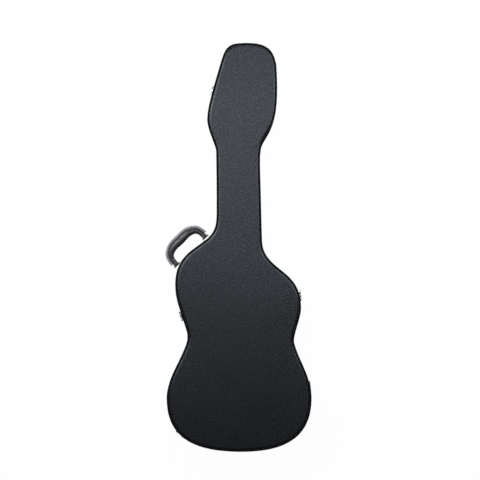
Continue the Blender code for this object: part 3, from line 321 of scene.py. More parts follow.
# %% [markdown]
# ## The outline of the case
#
# Everything on this case follows one outline. The bare model draws it with short straight facets, so a closed
# Bezier curve goes through the facets' corners and makes it smooth again. Automatic handles would dent the long
# straight runs, so the handles are worked out: at each corner they point from the corner before to the corner
# after, a third of the facet long. The curve is then read as a dense row of points, anticlockwise from above, each
# with its outward direction and its distance along the wall. With those, any place on the case is two numbers: how
# far along the wall it is, and how deep in from the outermost edge.

# %% Smooth the outline
WELD = 0.00001


def facet_corners(node):
    """The corners of a ring's outer edge, in order, read along its lower face."""
    work = bmesh.new()
    work.from_mesh(nodes[node].data)
    bmesh.ops.remove_doubles(work, verts=work.verts, dist=WELD)
    low = min(vert.co.z for vert in work.verts)
    edges = {edge for edge in work.edges
             if all(vert.co.z < low + WELD for vert in edge.verts) and edge.calc_face_angle(0) > 1}
    start = min((vert for edge in edges for vert in edge.verts), key=lambda vert: vert.co.x)
    path = [start]
    while True:
        links = [edge.other_vert(path[-1]) for edge in path[-1].link_edges if edge in edges]
        onward = next(vert for vert in links if len(path) < 2 or vert is not path[-2])
        if onward is start:
            break
        path.append(onward)
    corners = np.array([vert.co[:2] for vert in path])
    work.free()
    return corners


def even_handles(corners):
    """The Bezier handles before and after each corner, along the line between its two neighbours."""
    after = np.linalg.norm(np.roll(corners, -1, axis=0) - corners, axis=1)[:, None]
    before = np.roll(after, 1, axis=0)
    heading = np.roll(corners, -1, axis=0) - np.roll(corners, 1, axis=0)
    heading /= np.linalg.norm(heading, axis=1)[:, None]
    return corners - heading * before / 3, corners + heading * after / 3


def smooth_loop(corners):
    """Closely spaced points on the smooth closed curve through the corners, anticlockwise."""
    curve = bpy.data.curves.new("outline", "CURVE")
    curve.dimensions = "3D"
    curve.resolution_u = 24
    spline = curve.splines.new("BEZIER")
    spline.bezier_points.add(len(corners) - 1)
    for knot, corner, back, on in zip(spline.bezier_points, corners, *even_handles(corners)):
        knot.handle_left_type = knot.handle_right_type = "FREE"
        knot.co, knot.handle_left, knot.handle_right = (*corner, 0), (*back, 0), (*on, 0)
    spline.use_cyclic_u = True
    guide = bpy.data.objects.new("outline", curve)
    scene.collection.objects.link(guide)
    bpy.context.view_layer.update()
    evaluated = guide.evaluated_get(bpy.context.evaluated_depsgraph_get())
    points = np.array([vert.co[:2] for vert in evaluated.to_mesh().vertices])
    bpy.data.objects.remove(guide)
    onward = np.roll(points, -1, axis=0)
    clockwise = np.sum(points[:, 0] * onward[:, 1] - points[:, 1] * onward[:, 0]) < 0
    return points[::-1] if clockwise else points


SKIN_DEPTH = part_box("lid_side_cover")[0].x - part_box("lid_binding")[0].x
loop = smooth_loop(facet_corners("lid_side_cover"))
ahead = np.roll(loop, -1, axis=0)
direction = ahead - np.roll(loop, 1, axis=0)
direction /= np.linalg.norm(direction, axis=1)[:, None]
outward = np.stack([direction[:, 1], -direction[:, 0]], axis=1)
run = np.concatenate([[0], np.cumsum(np.linalg.norm(ahead - loop, axis=1))])
PERIMETER = run[-1]
WALL_TABLE = np.vstack([np.hstack([loop, outward]), np.hstack([loop[:1], outward[:1]])]).T


def wall(distance, depth):
    """X and Y of places on the wall, by distance along it and depth in from the outermost edge."""
    x, y, nx, ny = (np.interp(np.asarray(distance) % PERIMETER, run, column) for column in WALL_TABLE)
    shift = SKIN_DEPTH - depth
    return x + nx * shift, y + ny * shift


print(f"{len(loop)} points, {PERIMETER:.3f} m round, skin {SKIN_DEPTH / MM:.1f} mm in from the edge")

# %% [markdown]
# ## Bending a grid
#
# Blender's grid is a flat sheet of squares. Moving its corners to other places bends it into a skin, a welt or a
# pad, and the operator has already done the tedious work of joining vertices into faces. A sweep is a grid whose
# one direction runs along the wall and whose other direction follows a cross-section. Its seams meet, so merging
# doubles closes them.

# %% Bent grids, sections and sweeps
ROUND_STEPS = 4
WALL_STEP = 3 * MM


def bent_grid(columns, rows, place):
    """A grid bent by place, which turns two rows of numbers from 0 to 1 into points."""
    work = bmesh.new()
    work.loops.layers.uv.new("surface")
    bmesh.ops.create_grid(work, x_segments=columns, y_segments=rows, size=1.0, calc_uvs=True)
    flat = np.array([vert.co[:2] for vert in work.verts])
    for vert, spot in zip(work.verts, place(*((flat.T + 1) / 2))):
        vert.co = spot
    bmesh.ops.remove_doubles(work, verts=work.verts, dist=WELD)
    return work


def close_ends(work):
    """Fills every open end of a bent grid with a flat face."""
    bmesh.ops.holes_fill(work, edges=[edge for edge in work.edges if edge.is_boundary])


def squared(wave, power):
    """A sine or cosine pushed out towards a square wave: the smaller the power, the squarer."""
    return np.sign(wave) * np.abs(wave) ** power


def section(*corners):
    """A cross-section in metres from corners of depth, height and rounding in millimetres."""
    points = []
    for index, (depth, height, rounding) in enumerate(corners):
        here = np.array((depth, height), float)
        back = np.array(corners[index - 1][:2]) - here
        on = np.array(corners[(index + 1) % len(corners)][:2]) - here
        start = here + back / np.linalg.norm(back) * rounding
        end = here + on / np.linalg.norm(on) * rounding
        for t in np.linspace(0, 1, ROUND_STEPS + 1 if rounding else 1):
            points.append((1 - t) ** 2 * start + 2 * t * (1 - t) * here + t * t * end)
    return np.array(points) * MM


def sweep(profile, closed=True, step=WALL_STEP):
    """A section carried all the way round the wall. An open one leaves two holes, which are filled flat."""
    rows = len(profile) if closed else len(profile) - 1

    def place(u, v):
        depth, height = profile[np.rint(v * rows).astype(int) % len(profile)].T
        return np.stack([*wall(u * PERIMETER, depth), height], axis=1)

    work = bent_grid(round(PERIMETER / step), rows, place)
    if not closed:
        close_ends(work)
    return work


def finished(name, work, material, body, *stands_for, slot, sharp=40):
    """Turns a bmesh into a smooth-shaded piece that moves with a body and stands for bare nodes."""
    bmesh.ops.recalc_face_normals(work, faces=work.faces)
    mesh = bpy.data.meshes.new(name)
    work.to_mesh(mesh)
    work.free()
    mesh.shade_smooth()
    mesh.set_sharp_from_angle(angle=math.radians(sharp))
    mesh.materials.append(material)
    made = bpy.data.objects.new(name, mesh)
    scene.collection.objects.link(made)
    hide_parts(*stands_for)
    if body:
        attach(made, body)
    print(f"{name}: {len(mesh.polygons)} faces")
    return made


print(f"a sweep round the case has {round(PERIMETER / WALL_STEP)} columns")

# %% [markdown]
# ## Vinyl skins
#
# The top sheet rises from under the binding as a narrow sloping band, turns over and lies flat. The slope is what
# draws a bright line beside the binding. The side strip starts under the same binding, comes down the wall, turns
# under the rim and is glued to the inside, as the real covering is.
# Both are thin closed sheets. The base has the same two skins upside down.

# %% Vinyl skins on lid and base
SHOULDER_START = 3.8
SHOULDER_TURN = 7.8
SHOULDER_END = 9.4
SHOULDER_SLOPE = math.tan(math.radians(22.5))
SHEET_INSIDE = ((13.0, -1.2), (9.6, -1.25), (7.0, -1.9), (4.9, -2.8), (3.9, -3.15))
COVER_THICK, WRAP_THICK = 0.7, 0.6
WRAP_DEEP, WRAP_TALL = 6.4, 10.5
RIM_ROUND, WRAP_ROUND = 1.4, 0.8
EDGE_TUCK = 2.0


def shoulder(top, up):
    """The open section of a top sheet: back from the inside, under the welt, and over the shoulder."""
    band = np.linspace(SHOULDER_START, SHOULDER_TURN, 3, endpoint=False)
    depth = np.append(band, np.linspace(SHOULDER_TURN, SHOULDER_END, 7))
    bend = np.maximum(SHOULDER_TURN, depth)
    drop = (SHOULDER_END - bend) ** 2 / (SHOULDER_END - SHOULDER_TURN) / 2 + bend - depth
    rise = np.column_stack([depth, -SHOULDER_SLOPE * drop])
    return np.vstack([SHEET_INSIDE, rise]) * (MM, up * MM) + (0, top)


def side_strip(edge, rim, up):
    """The section of a side strip that starts at height edge and wraps the rim at height rim."""
    outer = SKIN_DEPTH / MM
    inner = outer + WRAP_DEEP
    wrap = rim + up * WRAP_TALL
    return section((outer, edge, 0), (outer, rim, RIM_ROUND), (inner, rim, WRAP_ROUND), (inner, wrap, 0),
                   (inner - WRAP_THICK, wrap, 0), (inner - WRAP_THICK, rim + up * COVER_THICK, 0),
                   (outer + COVER_THICK, rim + up * COVER_THICK, 0), (outer + COVER_THICK, edge, 0))


RIM_LOW, RIM_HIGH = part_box("base_rim")[1].z / MM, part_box("lid_rim")[0].z / MM
LID_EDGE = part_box("lid_binding")[0].z / MM + EDGE_TUCK
BASE_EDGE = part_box("base_binding")[1].z / MM - EDGE_TUCK
finished("lid_top_sheet", sweep(shoulder(LID_TOP, 1), closed=False), vinyl, "lid", "lid_top_cover", slot="vinyl")
finished("base_bottom_sheet", sweep(shoulder(0, -1), closed=False), vinyl, "base", "base_bottom_cover", slot="vinyl")
finished("lid_side_strip", sweep(side_strip(LID_EDGE, RIM_HIGH, 1)), vinyl, "lid", "lid_side_cover", slot="vinyl")
finished("base_side_strip", sweep(side_strip(BASE_EDGE, RIM_LOW, -1)), vinyl, "base", "base_side_cover",
         slot="vinyl")

# %% [markdown]
# ## Plywood inside the skins
#
# Under the vinyl, each tray is a strip of plywood bent round the outline and a flat panel that closes it. Nobody sees
# them on a whole case, so plain sections are enough: a sweep for each rim, and a filled sweep for each panel. They
# stand just clear of the covering, so that no two surfaces share a place.

# %% Plywood rims
PLY_GAP = 0.9
PLY_OUT, PLY_IN = SKIN_DEPTH / MM + PLY_GAP, SKIN_DEPTH / MM + 5.6
for part, body, low, high in (("lid_rim", "lid", RIM_HIGH + PLY_GAP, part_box("lid_rim")[1].z / MM),
                              ("base_rim", "base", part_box("base_rim")[0].z / MM, RIM_LOW - PLY_GAP)):
    bent_ply = section((PLY_OUT, low, 0), (PLY_OUT, high, 0), (PLY_IN, high, 0), (PLY_IN, low, 0))
    finished(part + "_ply", sweep(bent_ply), plywood, body, part, slot="plywood")

# %% Plywood panels
PANEL_DEPTH = 8.0
PANEL_ROUND = 1.5
CENTRE_DEPTH = 16.0


def slab(node, depth, rounding=0.0):
    """A flat sheet that fills the outline to this depth, between a bare node's lowest and highest points."""
    low, high = (corner.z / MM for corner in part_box(node))
    profile = section((depth + CENTRE_DEPTH, low, 0), (depth, low, rounding), (depth, high, rounding),
                      (depth + CENTRE_DEPTH, high, 0))
    return sweep(profile, closed=False)


for part, body in (("lid_panel", "lid"), ("base_panel", "base")):
    finished(part + "_ply", slab(part, PANEL_DEPTH, PANEL_ROUND), plywood, body, part, slot="plywood")

# %% [markdown]
# ## The sewn binding
#
# A welt covers the edge, pulled tight by an overcast stitch every few millimetres. Each stitch bites into the
# soft welt, so its surface swells between stitches: the radius of the bent grid follows a cosine with one wave a
# stitch. A bump in the material could fake this, but the swelling shows in the outline, so it is modelled.

# %% Welts
STITCH_PITCH = 3.3 * MM
STITCHES = round(PERIMETER / STITCH_PITCH)
WELT_DEPTH = 2.4 * MM
WELT_WIDE, WELT_HIGH = 3.4 * MM, 2.3 * MM
WELT_SIDES, STEPS_A_STITCH = 14, 5
BITE = 0.11


def welt(height, up):
    """A puckered welt at this height; up is 1 on the lid, -1 on the base."""
    def place(u, v):
        turn = 2 * math.pi * v
        gather = (1 + np.cos(2 * math.pi * u * STITCHES)) / 2
        swell = 1 - BITE * gather * np.clip(np.sin(turn) + 0.6, 0, 1)
        depth = WELT_DEPTH - WELT_WIDE * swell * np.cos(turn)
        return np.stack([*wall(u * PERIMETER, depth), height + up * WELT_HIGH * swell * np.sin(turn)], axis=1)
    return bent_grid(STITCHES * STEPS_A_STITCH, WELT_SIDES, place)


LID_WELT = sum(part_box("lid_binding")[i].z for i in (0, 1)) / 2
BASE_WELT = sum(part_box("base_binding")[i].z for i in (0, 1)) / 2
finished("lid_welt", welt(LID_WELT, 1), welt_pvc, "lid", "lid_binding", slot="binding", sharp=180)
finished("base_welt", welt(BASE_WELT, -1), welt_pvc, "base", "base_binding", slot="binding", sharp=180)
print(STITCHES, "stitches round each edge")

# %% [markdown]
# ## Overcast stitches
#
# The thread goes over the welt once a stitch and leans a little, because the needle moves on meanwhile. There are
# hundreds of stitches, so each is a few faces only: one is bent from a small grid, and copies of it are set round the
# edge, each turned to face straight out of the wall.

# %% Overcast stitches
THREAD_RADIUS = 0.5 * MM
THREAD_FROM, THREAD_TO = math.radians(-12), math.radians(192)
THREAD_LEAN = 0.9 * MM


def thread_loop(u, v):
    """One stitch over the welt: u along the thread, v round it. X is along the wall and Y points out."""
    over = THREAD_FROM + u * (THREAD_TO - THREAD_FROM)
    around = 2 * math.pi * v
    lift = THREAD_RADIUS * (0.15 + np.cos(around))
    out = (WELT_WIDE * (1 - BITE) + lift) * np.cos(over)
    up = (WELT_HIGH * (1 - BITE) + lift) * np.sin(over)
    return np.stack([THREAD_LEAN * (u - 0.5) + THREAD_RADIUS * np.sin(around), out, up], axis=1)


def repeated(shape, places):
    """Copies of one small bmesh, one at each matrix."""
    one = bpy.data.meshes.new("one")
    shape.to_mesh(one)
    work = bmesh.new()
    for matrix in places:
        before = len(work.verts)
        work.from_mesh(one)
        bmesh.ops.transform(work, matrix=matrix, verts=work.verts[before:])
    shape.free()
    bpy.data.meshes.remove(one)
    return work


def on_wall(distance, depth, height, up=1):
    """The frame of a place on the wall: X along it, Y out of it, Z up, or down where up is -1."""
    (x0, x1, x2), (y0, y1, y2) = wall([distance, distance - MM, distance + MM], depth)
    onward = Vector((x1 - x2, y1 - y2, 0)).normalized()
    out = Vector((-onward.y, onward.x, 0))
    axes = Matrix((onward * up, out, Vector((0, 0, up)))).transposed().to_4x4()
    return Matrix.Translation((x0, y0, height)) @ axes


for name, height, up, body in (("lid_stitches", LID_WELT, 1, "lid"), ("base_stitches", BASE_WELT, -1, "base")):
    one_stitch = bent_grid(7, 5, thread_loop)
    close_ends(one_stitch)
    spots = [on_wall(index * PERIMETER / STITCHES, WELT_DEPTH, height, up) for index in range(STITCHES)]
    finished(name, repeated(one_stitch, spots), thread, body, slot="binding", sharp=180)

# %% [markdown]
# ## Plush linings
#
# Plush covers everything inside. The floor and the lid have sheets of it over foam, the raised lip is a covered
# strip that centres the lid, and a narrower strip lines the lid's wall. All of them are sweeps with generously
# rounded edges, because cloth never turns a sharp corner.

# %% Linings and lip
LIP_OUT, LIP_IN = 8.9, 12.4
LID_STRIP_OUT, LID_STRIP_IN = 8.6, 11.1
PAD_OUT, PAD_IN = 12.7, 22.7

lip_low, lip_high = (corner.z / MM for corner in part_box("base_lip"))
lip = section((LIP_OUT, lip_low, 0), (LIP_OUT, lip_high, 1.3), (LIP_IN, lip_high, 1.6), (LIP_IN, lip_low, 0))
finished("base_lip_plush", sweep(lip), plush, "base", "base_lip", slot="plush")

strip_low, strip_high = (corner.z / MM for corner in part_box("lid_wall_lining"))
lid_strip = section((LID_STRIP_OUT, strip_low, 0.8), (LID_STRIP_OUT, strip_high, 0), (LID_STRIP_IN, strip_high, 0),
                    (LID_STRIP_IN, strip_low, 1.2))
finished("lid_wall_plush", sweep(lid_strip), plush, "lid", "lid_wall_lining", slot="plush")

floor_pad = finished("floor_plush", slab("floor_lining", PAD_OUT, 1.4), plush, "base", "floor_lining", slot="plush")
lid_pad = finished("lid_plush", slab("lid_lining", LID_STRIP_OUT, 2.6), plush, "lid", "lid_lining", slot="plush")

# %% [markdown]
# ## Padded walls
#
# Foam strips wrapped in plush hold the guitar at its body, neck and head. Each is a sweep with a rolled top, and
# it is drawn in at every tack, where a staple through the plush holds the foam to the wall. The ends are rolled
# over too: near an end the section shrinks along a circle towards its foot, until it closes in a point.

# %% Padding round body, neck and head
PAD_STEP = 2.5 * MM
END_ROLL = 5 * MM
TACK_PITCH = 78 * MM
TACK_WIDTH = 8 * MM
TACK_BITE = 1.7 * MM


def span(node):
    """Where a bare strip starts and how long it is, anticlockwise along the wall."""
    inner = np.array([vert.co[:2] for vert in nodes[node].data.vertices])
    places = np.stack(wall(run[:-1], PAD_OUT * MM), axis=1)
    nearest = np.linalg.norm(inner[:, None] - places[None], axis=2)
    met = np.sort(run[:-1][np.unique(nearest.argmin(axis=1))])
    gaps = np.diff(np.append(met, met[0] + PERIMETER))
    return met[(gaps.argmax() + 1) % len(met)], PERIMETER - gaps.max()


def padding(node):
    """A tacked foam strip in the place of a bare one."""
    first, length = span(node)
    low, high = (corner.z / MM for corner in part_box(node))
    profile = section((PAD_OUT, low, 0.6), (PAD_OUT, high, 3.2), (PAD_IN, high, 5.5), (PAD_IN, low, 1.2))
    tacks = max(1, round(length / TACK_PITCH))

    def place(u, v):
        depth, height = profile[np.rint(v * len(profile)).astype(int) % len(profile)].T
        to_tack = np.abs((u * tacks) % 1 - 0.5) * length / tacks
        front = (depth / MM - PAD_OUT) / (PAD_IN - PAD_OUT)
        depth = depth - TACK_BITE * front * np.exp(-(to_tack / TACK_WIDTH) ** 2)
        near_end = np.minimum(u, 1 - u) * length
        roll = np.sqrt(1 - np.clip(1 - near_end / END_ROLL, 0, 1) ** 2)
        middle = (PAD_OUT + PAD_IN) / 2 * MM
        depth = middle + (depth - middle) * roll
        height = low * MM + (height - low * MM) * roll
        return np.stack([*wall(first + u * length, depth), height], axis=1)

    return bent_grid(round(length / PAD_STEP), len(profile), place)


for part in sorted(nodes):
    if "_padding" in part:
        foam = finished(part + "_plush", padding(part), plush, "base", part, slot="plush", sharp=180)

# %% [markdown]
# ## Neck cradle and accessory box
#
# These are boards and blocks whose bare shapes are right, so a copy is enough: the copy's loose triangles are
# merged, flat neighbours are dissolved into one face, and every remaining edge is rounded with a bevel. A soft
# block gets a wide bevel, a covered board a narrow one.

# %% Eased copies of bare nodes
body_of = {node: body for body, members in frame["record"]["behaviour"]["bodies"].items() for node in members}


def eased(node, width, segments=2, sharp=25):
    """A bmesh copy of a bare node with its edges rounded to this width."""
    work = bmesh.new()
    work.from_mesh(nodes[node].data)
    bmesh.ops.remove_doubles(work, verts=work.verts, dist=WELD)
    bmesh.ops.dissolve_limit(work, angle_limit=math.radians(1), verts=work.verts, edges=work.edges)
    corners = [edge for edge in work.edges if edge.calc_face_angle(0) > math.radians(sharp)]
    bmesh.ops.bevel(work, geom=corners, offset=width, offset_type="OFFSET", affect="EDGES", segments=segments,
                    profile=0.5, material=-1, clamp_overlap=True)
    return work


cradle = finished("neck_cradle_plush", eased("neck_cradle", 2.6 * MM, 4), plush, "base", "neck_cradle",
                  slot="plush", sharp=60)
for board, width in (("accessory_box", 0.8), ("accessory_shelf", 1.1), ("accessory_lid", 1.1),
                     ("accessory_pull_tab", 0.3)):
    finished(board + "_covered", eased(board, width * MM, 3), plush, body_of[board], board, slot="plush", sharp=60)

# %% [markdown]
# ## The cloth hinge of the accessory box
#
# The box's lid has no metal hinge. A strip of the same plush is glued over the joint, half on the fixed shelf and
# half on the lid, and on the real case it bends when the lid is lifted. Here the strip is a thin grid with a soft
# edge, laid across the hinge line and attached to neither body.

# %% Cloth hinge
CLOTH_HALF = 7 * MM
CLOTH_THICK = 0.5 * MM
CLOTH_INSET = 4 * MM
CLOTH_LIFT = 0.1 * MM
hinge = Vector(joints["accessory_hinge"]["pos_m"])
lid_low, lid_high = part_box("accessory_lid")


def hinge_strip(u, v):
    """A flat loop across the hinge line: u along the box, v round the strip's thin section."""
    turn = 2 * math.pi * v
    across = CLOTH_HALF * squared(np.cos(turn), 0.5)
    up = CLOTH_THICK * squared(np.sin(turn), 0.3)
    y = lid_low.y + CLOTH_INSET + u * (lid_high.y - lid_low.y - 2 * CLOTH_INSET)
    return np.stack([hinge.x + across, y, lid_high.z + CLOTH_THICK + CLOTH_LIFT + up], axis=1)


cloth_work = bent_grid(40, 24, hinge_strip)
close_ends(cloth_work)
cloth_hinge = finished("accessory_cloth_hinge", cloth_work, plush, None, slot="plush", sharp=180)
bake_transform(cloth_hinge)

# %% [markdown]
# ## Latches and hinges
#
# Stamped and plated parts have small even radii on every edge, and those radii are what catches the light. The
# bare parts are copied and eased as before, with a narrow bevel. Wire bails start as eight-sided rods, and the
# bevel doubles the number of sides.

# %% Plated hardware
PLATED = ("hinge_leaf", "latch_plate", "latch_lever", "latch_keeper", "latch_bail", "handle_bracket")
PLATED_EASE, TURNED_EASE = 0.32 * MM, 0.3 * MM
METAL_SHARP = 34
for node in sorted(nodes):
    if node.startswith(PLATED):
        finished(node + "_plated", eased(node, PLATED_EASE), chrome, body_of[node], node, slot="chrome",
                 sharp=METAL_SHARP)
    elif node.startswith("hinge_pin"):
        finished(node + "_turned", eased(node, TURNED_EASE), steel, body_of[node], node, slot="steel",
                 sharp=METAL_SHARP)

# %% [markdown]
# ## The handle
#
# The grip is moulded in one piece: two legs that lean in and swell into a thick hand piece. It is easiest to draw
# lying flat, so the handle gets a frame of its own: along its axis, out from the case, and up. In that frame a few
# knots set the centre line of one half, with the grip's radius at each, and a smooth curve goes through them.

# %% Handle frame and centre line
swing = joints["handle_swing"]
along_axis = Vector(swing["axis"]).normalized()
out_axis = Vector((0, 0, 1)).cross(along_axis)
handle_frame = (Matrix.Translation(swing["pos_m"])
                @ Matrix((along_axis, out_axis, Vector((0, 0, 1)))).transposed().to_4x4())


def in_handle_frame(node):
    """A bare node's points as along, out and up from the middle of the handle's axis."""
    back = handle_frame.inverted()
    return np.array([back @ vert.co for vert in nodes[node].data.vertices])


block = in_handle_frame("handle_end_upper")
bare_grip = in_handle_frame("handle_grip")
LEG = (block[:, 0].min() + block[:, 0].max()) / 2
GRIP_FOOT = bare_grip[:, 1].min()
GRIP_RADIUS = bare_grip[:, 2].max()
GRIP_REACH = bare_grip[:, 1].max() - GRIP_RADIUS

# Knots of a leg, in millimetres: in from the leg's foot, out from it, and the radius there.
LEG_KNOTS = ((0.6, 3.6, 6.0), (0.8, 8.5, 6.0), (2.4, 18.2, 6.2), (9.2, 29.0, 7.4))
half = [(-LEG + inward * MM, GRIP_FOOT + out * MM, radius * MM) for inward, out, radius in LEG_KNOTS]
half.append((-LEG + 26.7 * MM, GRIP_REACH - 0.2 * MM, 9.2 * MM))
knots = np.array([*half, (0, GRIP_REACH, GRIP_RADIUS), *[(-x, y, r) for x, y, r in reversed(half)]])


def through(knots, steps):
    """A smooth row of points through the knots, by the Catmull-Rom rule."""
    ends = np.vstack([2 * knots[0] - knots[1], knots, 2 * knots[-1] - knots[-2]])
    rows = []
    for a, b, c, d in zip(ends, ends[1:], ends[2:], ends[3:]):
        for t in np.arange(steps) / steps:
            rows.append(b + t * ((c - a) / 2 + t * (a - 2.5 * b + 2 * c - d / 2 + t * (1.5 * (b - c) + (d - a) / 2))))
    return np.array([*rows, knots[-1]])


spine = through(knots, 8)
spine_step = np.gradient(spine[:, :2], axis=0)
spine_step /= np.linalg.norm(spine_step, axis=1)[:, None]
spine_out = np.stack([-spine_step[:, 1], spine_step[:, 0]], axis=1)
print(f"legs {2 * LEG / MM:.0f} mm apart, grip {2 * GRIP_RADIUS / MM:.1f} mm thick")

# %% [markdown]
# ## The grip
#
# Sections along the centre line make the grip, each an oval a little wider than it is deep, as a moulded grip is so
# that it doesn't turn in the hand. A bent grid joins them in one go, and its two ends are closed.

# %% Grip
GRIP_SIDES = 28
GRIP_WIDE, GRIP_DEEP = 1.06, 0.94


def to_world(points):
    """Points of the handle's frame as points of the case."""
    turn = np.array(handle_frame.to_3x3())
    return points @ turn.T + np.array(handle_frame.translation)


def grip_skin(u, v):
    """Sections along the spine: u along it, v round it, starting on the outer side."""
    row = np.rint(u * (len(spine) - 1)).astype(int)
    turn = 2 * math.pi * v
    radius = spine[row, 2]
    across = radius * GRIP_WIDE * np.cos(turn)
    flat = spine[row, :2] + spine_out[row] * across[:, None]
    return to_world(np.column_stack([flat, radius * GRIP_DEEP * np.sin(turn)]))


grip_work = bent_grid(len(spine) - 1, GRIP_SIDES, grip_skin)
close_ends(grip_work)
finished("handle_grip_moulded", grip_work, grip_plastic, "handle", "handle_grip", slot="grip", sharp=50)

# %% [markdown]
# ## The pale strip
#
# A fin of softer PVC stands on the grip's outer side, with a groove where the two meet. It follows the same centre
# line, so the same points are used again, only pushed out by the grip's radius. The grid's own coordinates tell the
# material how near the tip a place is.

# %% Pale strip along the outer side
STRIP_HEIGHT = 6.6 * MM
STRIP_HALF_THICK = 1.3 * MM
STRIP_ROOT = 0.3 * MM
STRIP_START = GRIP_FOOT + 5.4 * MM
stripped = spine[:, 1] > STRIP_START
strip_spine, strip_out = spine[stripped], spine_out[stripped]


def strip_skin(u, v):
    """A thin rounded fin on the spine's outer side."""
    row = np.rint(u * (len(strip_spine) - 1)).astype(int)
    turn = 2 * math.pi * v
    reach = strip_spine[row, 2] * GRIP_WIDE - STRIP_ROOT + (STRIP_HEIGHT + STRIP_ROOT) * (1 + np.cos(turn)) / 2
    flat = strip_spine[row, :2] + strip_out[row] * reach[:, None]
    thick = STRIP_HALF_THICK * squared(np.sin(turn), 0.6)
    return to_world(np.column_stack([flat, thick]))


strip_work = bent_grid(len(strip_spine) - 1, 16, strip_skin)
close_ends(strip_work)
finished("handle_strip_moulded", strip_work, strip_pvc, "handle", "handle_flange", slot="grip", sharp=60)

# %% [markdown]
# ## The ends of the handle
#
# Each leg ends in a flat-topped collar and a black bar that turns on a steel pin. The collar is a small turned shape:
# a list of heights and insets carried round a squared circle. The bar and the pin are eased copies of bare nodes.

# %% Collars, end bars and pins
COLLAR_HALF_WIDE, COLLAR_HALF_DEEP, COLLAR_TALL = 6.8 * MM, 6.2 * MM, 5.3 * MM
COLLAR_SIDES = 40
COLLAR_POWER = 0.35
BAR_EASE = 0.9 * MM
# Pairs of height, as a share of the collar's, and inset in millimetres.
COLLAR_PROFILE = np.array([(0, 0.9), (0.03, 0.45), (0.08, 0.15), (0.15, 0), (0.42, 0), (0.45, 0.35), (0.53, 0.35),
                           (0.56, 0), (0.85, 0), (0.92, 0.15), (0.97, 0.45), (1, 0.9)])


def collar(side):
    """A flat-topped ferrule round the end of a leg, with a groove round it."""
    def place(u, v):
        height, inset = COLLAR_PROFILE[np.rint(u * (len(COLLAR_PROFILE) - 1)).astype(int)].T
        turn = 2 * math.pi * v
        x = (COLLAR_HALF_WIDE - inset * MM) * squared(np.cos(turn), COLLAR_POWER)
        z = (COLLAR_HALF_DEEP - inset * MM) * squared(np.sin(turn), COLLAR_POWER)
        return to_world(np.column_stack([side * LEG + x, GRIP_FOOT + height * COLLAR_TALL, z]))

    work = bent_grid(len(COLLAR_PROFILE) - 1, COLLAR_SIDES, place)
    close_ends(work)
    return work


for name, side in (("lower", -1), ("upper", 1)):
    finished(f"handle_collar_{name}", collar(side), grip_plastic, "handle", slot="grip", sharp=35)
    finished(f"handle_end_{name}_moulded", eased(f"handle_end_{name}", BAR_EASE, 3), bar_black, "handle",
             f"handle_end_{name}", slot="grip", sharp=40)
    finished(f"handle_pin_{name}_turned", eased(f"handle_pin_{name}", TURNED_EASE), steel, "base",
             f"handle_pin_{name}", slot="steel", sharp=METAL_SHARP)

# %% [markdown]
# ## Lamps
#
# The picture was lit by a broad soft box over the head end: the lid is lighter there and falls off towards the
# tail. Lower boxes at the two long sides and beyond the head draw thin bright lines along the shoulders.

# %% Lamps
def soft_box(name, place, target, size, power):
    """A rectangular area lamp that points at a target."""
    data = bpy.data.lights.new(name, "AREA")
    data.shape = "RECTANGLE"
    data.size, data.size_y = size
    data.energy = power
    lamp = bpy.data.objects.new(name, data)
    lamp.location = place
    lamp.visible_camera = False
    lamp.rotation_euler = (Vector(target) - Vector(place)).to_track_quat("-Z", "Y").to_euler()
    scene.collection.objects.link(lamp)


soft_box("head_end_box", (0, 0.58, 3.2), (0, 0.58, 0), (3.0, 0.94), 32)
soft_box("left_box", (-0.92, 0.36, 1.0), (-0.1, 0.15, 0.1), (0.9, 0.4), 5.4)
soft_box("corner_box", (-0.755, 0.685, 1.04), (-0.1, 0, 0.1), (0.5, 0.4), 4.8)
soft_box("right_box", (1.0, 0.5, 1.0), (0.08, 0.2, 0.1), (0.9, 0.4), 6.2)
soft_box("far_box", (0.3, 1.45, 1.1), (0.05, 0.45, 0.1), (1.7, 0.35), 5.2)
print("lamps:", ", ".join(light.name for light in bpy.data.lights))

# %% [markdown]
# ## The room
#
# The world stands for the room. It has a dim ceiling and paler walls, which the vinyl mirrors when it is seen at a
# low angle. A direction's height, 0 at the horizon and 1 overhead, says whether it meets a wall or the ceiling.

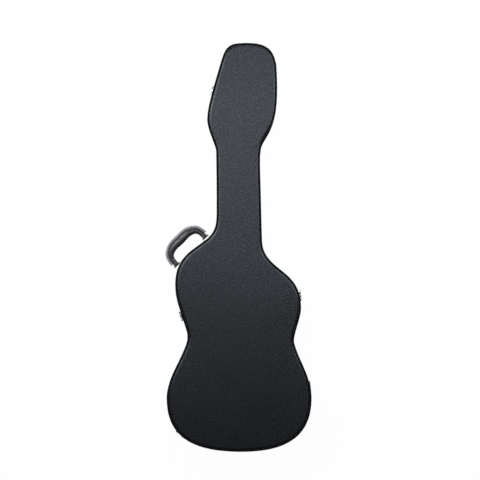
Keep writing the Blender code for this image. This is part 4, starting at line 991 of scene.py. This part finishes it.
# %% World
CEILING_LIGHT, WALL_LIGHT = 0.06, 0.6
WALL_TOP, WALL_FOOT = 0.5, 0.15
world = bpy.data.worlds.new("studio")
world.use_nodes = True
tree = world.node_tree
room = tree.nodes["Background"]
room.inputs["Color"].default_value = colour("#FFFFFF")
height = add_node(tree, "SeparateXYZ", {0: add_node(tree, "TexCoord").outputs["Generated"]}).outputs["Z"]
walls = add_node(tree, "MapRange", {"Value": height, "From Min": WALL_FOOT, "From Max": WALL_TOP,
                                    "To Min": WALL_LIGHT, "To Max": CEILING_LIGHT})
tree.links.new(walls.outputs[0], room.inputs["Strength"])
scene.world = world
print(f"ceiling {CEILING_LIGHT}, walls {WALL_LIGHT}")

# %% [markdown]
# ## The floor
#
# The case lies on white paper. A real white floor would need much more light than the case does, so Light Path shows
# it plain white to the camera and in reflections, while its diffuse part still takes a shadow.

# %% Floor
FLOOR_SIZE = 14
FLOOR_DROP = 0.3 * MM
PAPER_SHARE = 0.98
paper, tree, shader = new_material("white_paper", {"Base Color": colour("#F4F4F4"), "Roughness": 0.9})
path = add_node(tree, "LightPath")
seen = add_node(tree, "Math", {0: path.outputs["Is Camera Ray"], 1: path.outputs["Is Glossy Ray"]},
                operation="MAXIMUM")
shown = add_node(tree, "Math", {0: seen.outputs[0], 1: path.outputs["Is Transmission Ray"]}, operation="MAXIMUM")
share = add_node(tree, "Math", {0: shown.outputs[0], 1: PAPER_SHARE}, operation="MULTIPLY")
white = add_node(tree, "Emission", {"Color": colour("#FFFFFF"), "Strength": 1.0})
both = add_node(tree, "MixShader", {"Fac": share.outputs[0], 1: shader.outputs[0], 2: white.outputs[0]})
tree.links.new(both.outputs[0], tree.nodes["Material Output"].inputs["Surface"])

sheet = bmesh.new()
bmesh.ops.create_grid(sheet, x_segments=1, y_segments=1, size=FLOOR_SIZE / 2)
bmesh.ops.translate(sheet, verts=sheet.verts, vec=(0, 0, -FLOOR_DROP))
floor_mesh = bpy.data.meshes.new("floor")
sheet.to_mesh(floor_mesh)
sheet.free()
floor_mesh.materials.append(paper)
floor = bpy.data.objects.new("floor", floor_mesh)
scene.collection.objects.link(floor)
print(f"a white floor {FLOOR_SIZE} m square")
